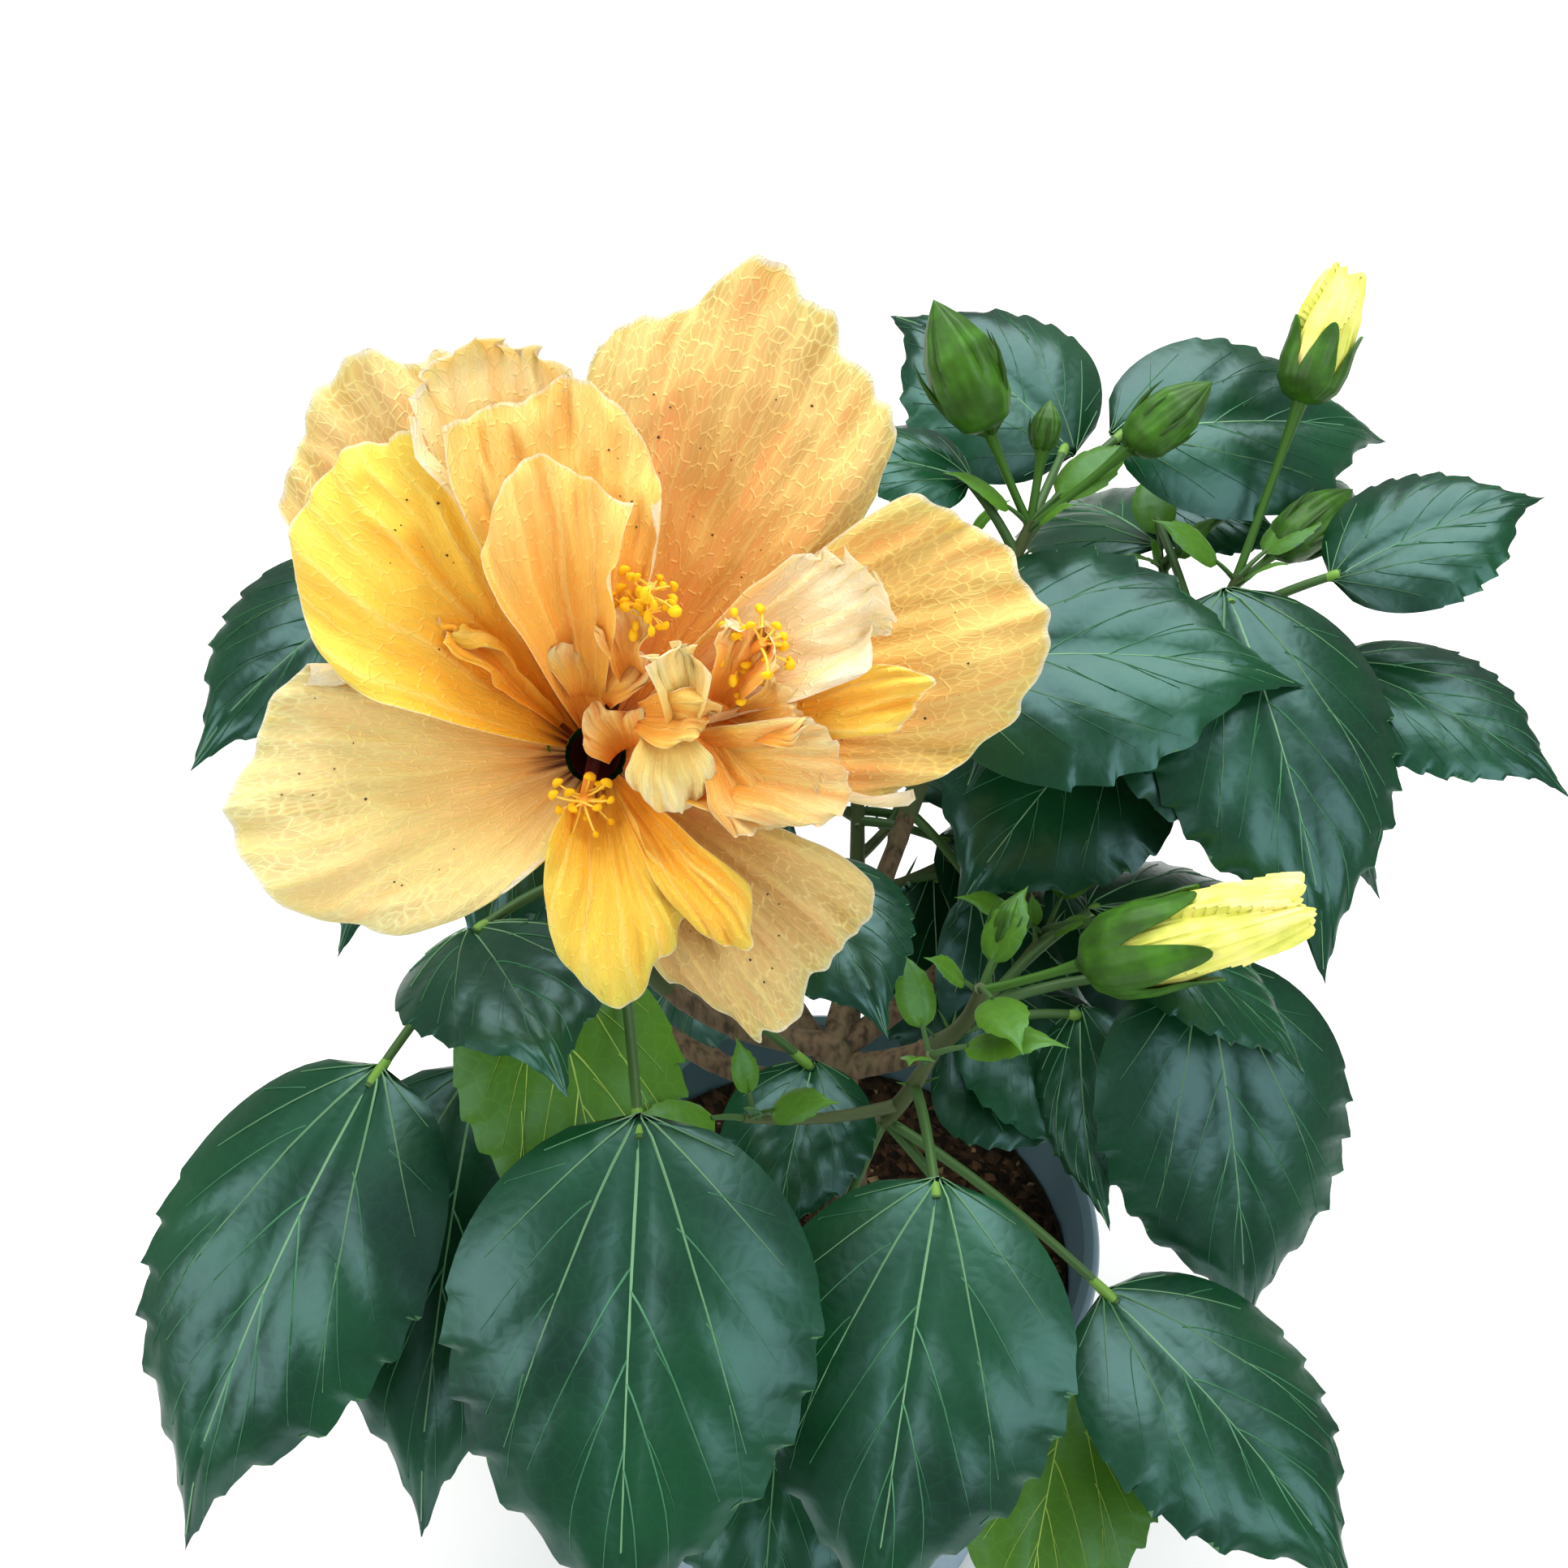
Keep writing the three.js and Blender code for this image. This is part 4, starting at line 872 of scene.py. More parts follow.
class SHRUB_OT_soil(bpy.types.Operator):
    """Makes the peat with its crumbs and bark chips"""

    bl_idname = "shrub.soil"
    bl_label = "Soil"

    def execute(self, context):
        pot = context.scene.shrub_pot
        sides, steps = 220, 64
        a = ring_angles(sides)
        low, edge = POT_FLOOR + 0.3, SOIL_TOP - 3
        outside = inner_radius(pot, edge) - 0.6
        share = np.sqrt(np.linspace(1, 0, steps))
        radius = np.concatenate([[0, inner_radius(pot, low) - 0.6, outside], share * (outside - 0.1)])
        x, y = radius[:, None] * np.cos(a), radius[:, None] * np.sin(a)
        z = soil_height(x, y)
        z[0], z[1], z[2] = low, low, edge
        z[3:] = np.minimum(z[3:], mix(edge, z[3:], smooth_step(0, 3, outside - radius[3:])[:, None]))
        ball = wrapped(np.stack([x, y, z], axis=-1), order=-1)
        peat = joined("peat_surface", [ball], [damp_peat(pot)])
        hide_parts("soil")
        rng = np.random.default_rng(17)
        far = (outside - 2.0) * np.sqrt(rng.uniform(0, 1, CRUMB_COUNT))
        turn = rng.uniform(0, 2 * np.pi, CRUMB_COUNT)
        x, y = far * np.cos(turn), far * np.sin(turn)
        keep = np.hypot(x - TRUNK["foot"][0], y - TRUNK["foot"][1]) > 10
        x, y = x[keep], y[keep]
        count = len(x)
        size = rng.uniform(0.35, 1.0, count) ** 2 * 1.9 + 0.35
        # A crumb is a grain with each corner pushed in or out, stretched, and turned on the soil.
        stretch = rng.uniform((0.7, 0.5, 0.4), (1.6, 1.0, 0.8), (count, 3))
        push = rng.uniform(0.75, 1.2, (count, len(GRAIN_CORNERS), 1))
        shape = GRAIN_CORNERS[None] * push * (stretch * size[:, None])[:, None, :]
        spin = rng.uniform(0, 2 * np.pi, count)
        c, s = np.cos(spin)[:, None], np.sin(spin)[:, None]
        turned = np.stack(
            [c * shape[..., 0] - s * shape[..., 1], s * shape[..., 0] + c * shape[..., 1], shape[..., 2]], -1
        )
        seat = np.stack([x, y, soil_height(x, y) + 0.15 * size], axis=-1)
        faces = grain_faces(count)
        points = turned + seat[:, None, :]
        # Four plain colours are dealt out among the crumbs: wet and drier peat, bark chips and pale fibre.
        dealt = np.searchsorted((0.45, 0.76, 0.95), rng.uniform(0, 1, count))
        parts = [
            {"points": points[pick].reshape(-1, 3), "faces": faces[: pick.sum()].reshape(-1, 3), "slot": slot}
            for slot, pick in enumerate(dealt == k for k in range(4))
        ]
        dry = tuple(mix(np.array(pot.soil), np.array(pot.grit), 0.4))
        kinds = {"wet_crumbs": pot.soil, "dry_crumbs": dry, "bark_chips": pot.grit, "fibre": pot.fibre}
        skins = [plain_skin(kind, colour, 0.95) for kind, colour in kinds.items()]
        crumbs = joined("peat_crumbs", parts, skins, sharp=20)
        return {"FINISHED"}


# The trunk and the boughs

TRUNK_FOOT = SOIL_TOP + GAP
TRUNK_LINE = (
    (*TRUNK["foot"], TRUNK_FOOT),
    (*TRUNK["foot"], mix(TRUNK_FOOT, TRUNK["fork"], 0.45)),
    (*TRUNK["lean"], TRUNK["fork"]),
)


def branch_line(branch):
    """A branch's curve, from its fork on the trunk by its control point to its end."""
    return bend(TRUNK_LINE, branch["from"]), branch["control"], branch["end"]


def line_length(line):
    """A curve's length, summed over 200 chords as the source sums it."""
    return np.linalg.norm(np.diff(bend(line, np.linspace(0, 1, 201)), axis=0), axis=1).sum()


def stem_start(branch):
    """How far along its curve a branch's stem starts, just past its bough's tip."""
    return branch["split"] + GAP / line_length(branch_line(branch))


def bark_limb(line, start, stop, radius, sides, steps, relief, seed, cell):
    """A limb with its bark's relief: a ring about each point of the curve, whose radius is the limb's own
    plus ridges along it, uneven swellings, and a raised leaf scar at each of a few places."""
    t = np.linspace(start, stop, steps)
    centre = bend(line, t)
    along = unit(np.gradient(centre, axis=0))
    u = unit(np.cross(along, (0.31, 0.87, 0.39)))
    v = np.cross(along, u)
    a = ring_angles(sides)
    run = np.concatenate([[0], np.cumsum(np.linalg.norm(np.diff(centre, axis=0), axis=1))])
    own = radius(t[:, None], a[None, :])
    skin = np.stack([own * np.cos(a), own * np.sin(a), np.broadcast_to(0.16 * run[:, None], own.shape)], -1)
    rise = relief * (0.7 * bumps(skin, 1.3, seed) + 0.8 * bumps(skin, 3.5, seed + 1))
    for k in range(LEAF_SCARS):
        where, side = run[-1] * (k + 0.6) / LEAF_SCARS, 2.4 * k + seed
        near = np.exp(-(((run - where) / 1.1) ** 2))[:, None]
        rise = rise + near * (0.12 + 0.5 * np.clip(np.cos(a - side), 0, 1)[None, :] ** 4)
    size = own + rise - relief
    points = centre[:, None, :] + size[..., None] * around(a, u, v)
    first, last = (np.repeat(end[None, None], sides, 1) for end in (centre[0], centre[-1]))
    return wrapped(np.concatenate([first, points, last]), cell, order=-1)


def trunk_radius(t, a):
    """The trunk's taper, with root ridges that fade upwards, flare x exp(-9t) x (0.7 + 0.3 cos 5a), and a
    rounded top."""
    flare = TRUNK["flare"] * np.exp(-9 * t) * (0.7 + 0.3 * np.cos(5 * a))
    top = np.sqrt(np.clip(1 - smooth_step(0.93, 1.06, t) ** 2, 0, 1))
    return (mix(TRUNK["foot_radius"], TRUNK["fork_radius"], t) + flare) * top


class SHRUB_OT_wood(bpy.types.Operator):
    """Makes the trunk and boughs with their bark"""

    bl_idname = "shrub.wood"
    bl_label = "Trunk and boughs"

    def execute(self, context):
        wood = context.scene.shrub_wood
        relief = wood.relief / METRE
        parts = [bark_limb(TRUNK_LINE, 0, 1.02, trunk_radius, *TRUNK_GRID, relief, 7, (0, 0, 0.36, 1))]
        for k, branch in enumerate(BRANCHES.values()):
            split = branch["split"]

            def taper(t, a, split=split):
                return mix(*BOUGH_RADII, t / split) + 0 * a

            cell = (0.36 + 0.08 * k, 0, 0.08, 1)
            line, seed = branch_line(branch), 30 + 3 * k
            parts.append(bark_limb(line, 0, split + 0.01, taper, *BOUGH_GRID, 0.5 * relief, seed, cell))
        piece = joined("bark_of_trunk_and_boughs", parts, [grey_brown_bark(wood)])
        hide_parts("trunk", *[f"bough_{name}" for name in BRANCHES])
        return {"FINISHED"}


# The leaves, by the source's rule

def outline(along):
    """Half a blade's breadth along it, from 0 to 1: sin(pi along^0.7) to the power 0.7 + 0.45 along."""
    return np.sin(np.pi * np.clip(along, 0, 1) ** 0.7).clip(0) ** (0.7 + 0.45 * along)


def leaf_from(root, numbers, nudge):
    """A leaf's place from its numbers, turned by a nudge, as in the source."""
    heading, stalk, lift, aim, droop, length, width, roll = numbers
    turned = aim + NUDGE["aim"] * nudge
    forward = direction(turned, -(droop + NUDGE["droop"] * nudge))
    level = direction(turned + 90, 0)
    upright = np.cross(forward, level)
    r = np.radians(roll)
    side = level * np.cos(r) + upright * np.sin(r)
    base = root + direction(heading + NUDGE["heading"] * nudge, lift) * stalk
    return {
        "root": root, "base": base, "stalk": stalk, "length": length, "width": width, "forward": forward,
        "side": side, "up": np.cross(forward, side),
    }


def blade_middle(leaf, along, across):
    """A point of the source's blade: base + forward length along + side half across + up (arch + trough),
    where half is half its breadth, arch is length x 0.07 x 4 along (1 - along) and trough is half x (0.3
    |across| - 0.42 across^2)."""
    along, across = np.asarray(along, float)[..., None], np.asarray(across, float)[..., None]
    half = 0.5 * leaf["width"] * outline(along)
    arch = leaf["length"] * LEAF_ARCH * 4 * along * (1 - along)
    trough = half * (LEAF_FOLD * np.abs(across) - LEAF_CURL * across**2)
    return (
        leaf["base"] + leaf["forward"] * (leaf["length"] * along) + leaf["side"] * (half * across)
        + leaf["up"] * (arch + trough)
    )


def blade_skin(leaf, along, across, tooth):
    """The source's blade with its finish. Teeth point forwards: past the lowest third, the edge swells slowly
    and falls back fast, about eight times. The edge waves, the skin sinks at the midrib and swells between
    side veins, and towards its tip the blade slims to a point."""
    along, across = np.asarray(along, float), np.asarray(across, float)
    size, phase = leaf["length"], leaf["phase"]
    count = leaf["teeth"]
    beat = (count * along + 0.5 * phase + 0.35 * (across > 0)) % 1
    bite = np.where(beat < 0.8, (beat / 0.8) ** 1.2, (1 - beat) / 0.2) - 0.4
    deep = tooth * size * smooth_step(0.26, 0.42, along) * (1 - 0.75 * smooth_step(0.6, 1.0, along)) * bite
    deep = deep * (0.75 + 0.25 * np.sin(7 * along * count + phase)) * np.abs(across) ** 8
    wave = 0.016 * size * np.abs(across) ** 3 * np.sin(6.5 * along + phase + 2 * (across > 0))
    wave = wave * np.sin(np.pi * along)
    cushion = 0.0042 * size * np.cos(2 * np.pi * (6.2 * along - 2.2 * np.abs(across) + 0.3))
    cushion = cushion * 4 * np.abs(across) * (1 - np.abs(across)) * np.sin(np.pi * along)
    groove = -0.35 * np.exp(-((across / 0.05) ** 2)) * (1 - along)
    tip = -0.05 * size * smooth_step(0.72, 1.0, along) ** 2
    slim = -0.4 * smooth_step(0.66, 0.9, along) * 0.5 * leaf["width"] * outline(along) * across
    return (
        blade_middle(leaf, along, across) + leaf["side"] * (np.sign(across) * deep + slim)[..., None]
        + leaf["forward"] * (0.9 * deep)[..., None] + leaf["up"] * (wave + cushion + groove + tip)[..., None]
    )


def blade_shape(leaf, rows, columns, tooth, cell, slots):
    """A blade's closed shell on a grid, denser along its toothed part. Its pattern runs in metres."""
    part = np.linspace(0, 1, rows)
    a = np.where(part < 0.16, 0.3 * part / 0.16, mix(0.3, 1, (part - 0.16) / 0.84))
    s = np.sin(0.5 * np.pi * np.linspace(-1, 1, columns)) * 0.35 + np.linspace(-1, 1, columns) * 0.65
    along, across = np.meshgrid(a, s, indexing="ij")
    surface = blade_skin(leaf, along, across, tooth)
    thickness = 0.011 * leaf["length"] * (1 - across**2) * np.sin(np.pi * along).clip(0) ** 0.3
    half = 0.5 * leaf["width"] * outline(along)
    pattern = np.stack([half * across, leaf["length"] * along], -1) * METRE + leaf["phase"]
    return shell(surface, thickness, slots, pattern, cell)


# Veins on the right half of a blade: along and aside at the start, along and aside at the end, how late they
# turn up, how late they turn out, breadth. aside is a share of the blade's full width, and the left half
# mirrors them.
VEINS = (
    (0.0, 0.0, 0.60, 0.315, 1.12, 0.95, 0.6), (0.0, 0.0, 0.27, 0.395, 1.05, 0.95, 0.48),
    (0.0, 0.0, 0.075, 0.255, 1.0, 1.0, 0.36), (0.30, 0.0, 0.66, 0.25, 1.2, 1.0, 0.5),
    (0.46, 0.0, 0.80, 0.165, 1.2, 1.0, 0.44), (0.61, 0.0, 0.90, 0.08, 1.2, 1.0, 0.36),
    (0.185, 0.115, 0.42, 0.39, 1.2, 1.0, 0.34), (0.35, 0.2, 0.57, 0.37, 1.2, 1.0, 0.32),
    (0.49, 0.268, 0.68, 0.31, 1.2, 1.0, 0.26), (0.12, 0.19, 0.16, 0.37, 1.1, 1.0, 0.26),
    (0.40, 0.07, 0.52, 0.17, 1.2, 1.0, 0.22), (0.55, 0.055, 0.68, 0.14, 1.2, 1.0, 0.22),
)
MAIN_VEINS = 3


def vein_ridges(leaf, tooth, side, steps=11):
    """Low ridges on a blade's skin, above it where side is 1 and below it where side is -1. Each is three
    lines of points: its two edges just in the skin and its crest just over it. Returns main veins and fine
    veins."""
    size = leaf["length"] / 90
    t = np.linspace(0, 1, steps)
    rows = [(0.0, 0.0, 0.965, 0.0, 1.0, 1.0, 0.9)]
    rows += list(VEINS)
    groups = {0: [], 1: []}
    for k, (a0, x0, a1, x1, late_up, late_out, breadth) in enumerate(rows):
        for hand in (1,) if k == 0 else (1, -1):
            shift = 0 if k <= MAIN_VEINS else 0.022 * hand
            along = a0 + shift + (a1 - a0) * t**late_up
            half = np.maximum(0.5 * outline(along), 1e-3)
            across = np.clip(hand * (x0 + (x1 - x0) * t**late_out) / half, -0.93, 0.93)
            line = blade_skin(leaf, along, across, tooth)
            step = 0.02
            over = blade_skin(leaf, along, np.clip(across + step, -1, 1), tooth)
            ahead = blade_skin(leaf, np.clip(along + step, 0, 1), across, tooth)
            normal = unit(np.cross(ahead - line, over - line))
            run = unit(np.gradient(line, axis=0))
            aside = np.cross(normal, run)
            wide = 0.5 * breadth * size * mix(1, 0.28, t)[:, None]
            skin = 0.0055 * leaf["length"] * (1 - across**2)[:, None] * side * normal
            low, crest = -0.03 * side * normal, (0.2 + 0.12 * wide) * side * normal
            middle = line + skin
            grid = np.stack([middle + aside * wide + low, middle + crest, middle - aside * wide + low], 1)
            faces = grid_faces(steps, 3)
            group = groups[0 if k <= MAIN_VEINS else 1]
            group.append((grid.reshape(-1, 3), faces[:, ::-1] if side > 0 else faces))
    made = []
    for slot, found in groups.items():
        count = len(found[0][0])
        made.append(
            {
                "points": np.concatenate([g for g, _ in found]),
                "faces": np.concatenate([f + k * count for k, (_, f) in enumerate(found)]),
                "slot": slot,
            }
        )
    return made


def stalk_path(leaf, steps=9):
    """A leaf stalk's curve, from the middle of what carries it into the foot of its blade."""
    middle = mix(leaf["root"], leaf["base"], 0.5) + (0, 0, STALK_BOW * leaf["stalk"])
    return bend((leaf["root"], middle, blade_middle(leaf, 0.05, 0)), np.linspace(0, 1, steps))


def found_leaf(root, numbers, tries, points):
    """The leaf as the solids have it: the first nudge whose tip is a point of the node, or None where it was
    left out."""
    for nudge in NUDGES[:tries]:
        leaf = leaf_from(root, numbers, nudge)
        tip = blade_middle(leaf, 1.0, 0.0)
        if np.linalg.norm(points - tip, axis=1).min() < FOUND:
            return leaf
    return None


def grow(name):
    """A branch's leaves and twigs, by the source's rule, kept where the node has them. Returns the leaves,
    the twigs' curves and the stem's curve."""
    branch = BRANCHES[name]
    points = node_points(f"foliage_{name}")
    line, start = branch_line(branch), stem_start(branch)
    leaves, twigs = [], []
    for at, *numbers in branch["leaves"]:
        leaf = found_leaf(bend(line, mix(start, 0.995, at)), numbers, len(NUDGES), points)
        if leaf:
            leaves.append(leaf)
    draw = seeded(branch["seed"])
    count, facing, spread, on_each = branch["twigs"]
    for k in range(count):
        share = k / (count - 1) if count > 1 else 0.5
        root = bend(line, mix(start, 1, mix(*TWIG["roots"], share)))
        heading = facing + spread * (share - 0.5) + draw(-12, 12)
        long, rise = draw(*TWIG["length"]), draw(*TWIG["lift"])
        rows = []
        for j in range(on_each):
            turn = heading + GOLDEN_ANGLE * j + draw(-15, 15)
            size = draw(*SEEDED_LEAF["length"]) * mix(1, 0.8, j / on_each)
            stalk, lift = draw(*SEEDED_LEAF["stalk"]), draw(*SEEDED_LEAF["lift"])
            aim, droop = turn + draw(-25, 25), draw(*SEEDED_LEAF["droop"])
            rows.append((turn, stalk, lift, aim, droop, size, size * SEEDED_LEAF["slimness"], draw(-14, 14)))
        best = []
        for nudge in NUDGES[:SEEDED_TRIES]:
            tip = root + direction(heading + NUDGE["twig"] * nudge, rise) * long
            twig = (root, mix(root, tip, 0.5) - (0, 0, TWIG["sag"] * long), tip)
            ring = np.abs(np.linalg.norm(points - tip, axis=1) - TWIG_RADII[1]) < FOUND
            kept = [
                found_leaf(bend(twig, mix(0.4, 0.98, j / (on_each - 1))), row, SEEDED_TRIES, points)
                for j, row in enumerate(rows)
            ]
            kept = [leaf for leaf in kept if leaf]
            if ring.sum() >= 2 or kept:
                best = kept
                twigs.append(twig)
                break
        leaves.extend(best)
    for at, *numbers in INNER_LEAVES.get(name, ()):
        leaves.append(leaf_from(bend(line, mix(start, 0.995, at)), numbers, 0))
    rng = np.random.default_rng(branch["seed"])
    for k, leaf in enumerate(leaves):
        young = (name, k) in YOUNG_LEAVES
        leaf.update(phase=rng.uniform(0, 6), teeth=rng.uniform(9, 12), young=young, small=False)
    return leaves, twigs, line


def shoot_tip_leaves(tip, along, seed, count=4):
    """Small folded young leaves round a shoot's tip, a golden angle apart and steeper towards the tip."""
    rng = np.random.default_rng(seed)
    heading = np.degrees(np.arctan2(along[0], -along[1]))
    leaves = []
    for k in range(count):
        size = 21 - 4.2 * k + rng.uniform(-1.5, 1.5)
        turn = heading + GOLDEN_ANGLE * k + rng.uniform(-15, 15)
        numbers = (turn, 7 - k, 32 + 10 * k, turn, -18 - 14 * k, size, 0.5 * size, rng.uniform(-15, 15))
        leaf = leaf_from(tip - along * (1.5 * k), numbers, 0)
        leaves.append({**leaf, "phase": rng.uniform(0, 6), "teeth": 6.5, "young": True, "small": True})
    return leaves


def stipule_paths(leaf, rng):
    """Two slender awl-shaped stipules beside a stalk's root, 4 to 6 mm long."""
    out = unit(leaf["base"] - leaf["root"])
    paths = []
    for hand in (-1, 1):
        aside = unit(np.cross(out, (0, 0, 1))) * hand
        long = rng.uniform(3.5, 5.5)
        start = leaf["root"] + 1.4 * aside
        way = unit(0.55 * aside + 0.4 * out + np.array((0, 0, 0.75)))
        paths.append([start, start + 0.5 * long * way, start + long * way + 0.12 * long * aside])
    return paths


class SHRUB_OT_foliage(bpy.types.Operator):
    """Makes the leaves with their veins, stalks and stems"""

    bl_idname = "shrub.foliage"
    bl_label = "Leaves, stalks and stems"

    def execute(self, context):
        look, wood = context.scene.shrub_leaf, context.scene.shrub_wood
        mature = waxy_leaf("waxy_leaf", look.blade, look.blade_light, *LEAF_SHINE)
        young = waxy_leaf("young_leaf", shade(look.young, 0.75), look.young, *YOUNG_LEAF_SHINE)
        under = plain_skin("leaf_underside", look.underside, 0.65)
        main = plain_skin("main_veins", look.vein, 0.45)
        fine = plain_skin("side_veins", look.fine_vein, 0.42)
        pale = plain_skin("young_veins", look.young_vein, 0.5)
        shoot = plain_skin("young_shoot", wood.shoot, 0.6)
        stalk = plain_skin("leaf_stalk", wood.stalk, 0.5)
        joint = plain_skin("leaf_joint", wood.joint, 0.5)
        stems, ribs = [], []
        for name, branch in BRANCHES.items():
            leaves, twigs, line = grow(name)
            rng = np.random.default_rng(branch["seed"] + 100)
            for k, twig in enumerate(twigs):
                way = unit(np.asarray(twig[2]) - np.asarray(twig[1]))
                leaves.extend(shoot_tip_leaves(np.asarray(twig[2]), way, branch["seed"] + k))
            if name != "bloom":
                way = unit(np.subtract(line[2], line[1]))
                leaves.extend(shoot_tip_leaves(np.asarray(line[2], float), way, branch["seed"] + 50, 3))
            across = int(np.ceil(np.sqrt(len(leaves))))
            parts = []
            for k, leaf in enumerate(leaves):
                cell = ((k % across) / across, (k // across) / across, 1 / across, 1 / across)
                slots = (1, 2) if leaf["young"] else (0, 2)
                grid = SMALL_LEAF_GRID if leaf["small"] else LEAF_GRID
                parts += blade_shape(leaf, *grid, look.tooth, cell, slots)
                for side in () if leaf["small"] else (1, -1):
                    ridges = vein_ridges(leaf, look.tooth, side)
                    if leaf["young"] or side < 0:
                        ridges = [{**ridge, "slot": 2} for ridge in ridges]
                    ribs += ridges
            piece = joined(f"leaves_{name}", parts, [mature, young, under])
            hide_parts(f"foliage_{name}")
            large = [leaf for leaf in leaves if not leaf["small"]]
            paths = np.array([stalk_path(leaf) for leaf in large])
            stems.append(tubes(paths, np.linspace(*STALK_RADII, 9), 8, 1))
            tips = np.array([bend(path[-3:], np.linspace(0.55, 1, 5)) for path in paths])
            stems.append(tubes(tips, (0.95, 1.1, 1.2, 1.15, 0.8), 8, 2))
            young_paths = np.array([stalk_path(leaf, 5) for leaf in leaves if leaf["small"]])
            if len(young_paths):
                stems.append(tubes(young_paths, np.linspace(0.7, 0.5, 5), 6, 1))
            spurs = [path for leaf in large for path in stipule_paths(leaf, rng)]
            stems.append(tubes(spurs, (0.45, 0.32, 0.05), 5, 1))
            t = np.linspace(branch["split"], 1, 24)
            radii = mix(*STEM_RADII, (t - t[0]) / (1 - t[0])) + 0.12 * np.sin(9 * t) ** 8
            stems.append(tubes([bend(line, t)], radii, 12))
            if twigs:
                bent = np.array([bend(twig, np.linspace(0, 1, 12)) for twig in twigs])
                stems.append(tubes(bent, np.linspace(*TWIG_RADII, 12), 10))
        shoots = joined("stems_and_leaf_stalks", stems, [shoot, stalk, joint])
        veins = joined("leaf_veins", ribs, [main, fine, pale], sharp=80)
        return {"FINISHED"}


# The buds

def turned_about(base, axis, rise, radius):
    """Rings about an axis: base + rise axis + radius (u cos a + v sin a), from grids of rise and radius."""
    across = unit(np.cross(axis, (0.2, 0.3, 0.9)))
    ring = around(ring_angles(radius.shape[1]), across, np.cross(axis, across))
    return base + rise[..., None] * axis + radius[..., None] * ring


def round_bud(base, axis, length, width, cell):
    """A closed bud: radius = width/2 profile (1 + 0.05 cos 5a), with a groove between each two of its five
    lobes and fine ribs along it."""
    steps, sides = 30, 80
    t = np.linspace(0, 1, steps)[:, None]
    a = ring_angles(sides)[None, :]
    full = np.interp(t, (0, 0.05, 0.2, 0.42, 0.62, 0.8, 0.93, 1), (0, 0.62, 0.92, 1, 0.9, 0.58, 0.22, 0))
    lobes = 1 + 0.05 * np.cos(5 * a) * np.sin(np.pi * t)
    seam = (5 * a / (2 * np.pi) + 0.5) % 1 - 0.5
    groove = 1 - 0.16 * np.exp(-((seam / 0.07) ** 2)) * smooth_step(0.15, 0.6, t)
    ribs = 1 + 0.018 * np.cos(20 * a) * np.sin(np.pi * t)
    radius = 0.5 * width * full * lobes * groove * ribs
    return wrapped(turned_about(base, axis, length * t + 0 * a, radius), cell)


def bracts(base, axis, count, long, spread, width, slot, seed):
    """Slender bracts in a ring under a bud: each curves out and then up along the bud, and tapers to a
    point."""
    rng = np.random.default_rng(seed)
    across = unit(np.cross(axis, (0.2, 0.3, 0.9)))
    a = 2 * np.pi * (np.arange(count) + rng.uniform(-0.12, 0.12, count)) / count
    out = around(a, across, np.cross(axis, across))
    t = np.linspace(0, 1, 7)[None, :, None]
    reach = (long * rng.uniform(0.85, 1.1, count))[:, None, None]
    paths = base + out[:, None, :] * (0.6 + spread * reach * np.sin(1.7 * t)) + axis * (reach * t**1.25)
    radii = 0.5 * width * np.array((0.75, 1, 1.05, 0.95, 0.75, 0.45, 0.06))
    return tubes(paths, radii, 6, slot)


def cup_lobes(base, axis, length, width, cell):
    """An opened green cup of five pointed lobes: its rim rises and falls as |cos 2.5a|, and a rib runs up the
    middle of each lobe. The inner wall runs back down to the foot."""
    steps, sides = 18, 90
    a = ring_angles(sides)[None, :]
    t = np.linspace(0, 1, steps)[:, None]
    rise = t * length * (0.38 + 0.62 * np.abs(np.cos(2.5 * a)) ** 1.25)
    full = np.interp(rise / length, (0, 0.08, 0.25, 0.5, 0.8, 1), (0, 0.6, 0.93, 1.03, 1.0, 1.06))
    wall = 0.5 * width * full * (1 + 0.045 * np.cos(5 * a) + 0.012 * np.cos(25 * a))
    inner = np.maximum(wall - 0.4, 0)
    rise = np.concatenate([rise, rise[::-1] + 0.1])
    return wrapped(turned_about(base, axis, rise, np.concatenate([wall, inner[::-1]])), cell)


def furled_petals(base, axis, length, width, cell):
    """Petals still rolled round each other: the surface steps in a spiral four times round the axis, wrinkles
    along it, frills at its blunt tip and turns in there."""
    steps, sides = 46, 110
    t = np.linspace(0, 1, steps)[:, None]
    a = ring_angles(sides)[None, :]
    beat = (4 * a / (2 * np.pi) - 0.8 * t) % 1
    full = np.interp(
        t, (0, 0.03, 0.12, 0.35, 0.6, 0.8, 0.9, 0.95, 1), (0, 0.5, 0.84, 1, 0.97, 0.78, 0.62, 0.36, 0)
    )
    frill = 1 + smooth_step(0.6, 0.92, t) * (0.12 * np.sin(7 * a + 3 * t) + 0.07 * np.sin(17 * a + 1))
    wrinkle = 1 + 0.02 * np.sin(24 * a + 5 * t) + 0.015 * np.sin(41 * a - 7 * t)
    radius = 0.5 * width * full * (0.76 + 0.3 * beat**0.6) * frill * wrinkle
    uneven = 0.05 * length * smooth_step(0.7, 0.92, t) * (0.6 * np.sin(3 * a + 1) + 0.4 * np.sin(11 * a))
    uneven = uneven * (1 - smooth_step(0.95, 1, t))
    rise = length * np.interp(t, (0, 0.9, 0.95, 1), (0, 1, 0.98, 0.88)) + uneven
    return wrapped(turned_about(base, axis, rise, radius), cell)


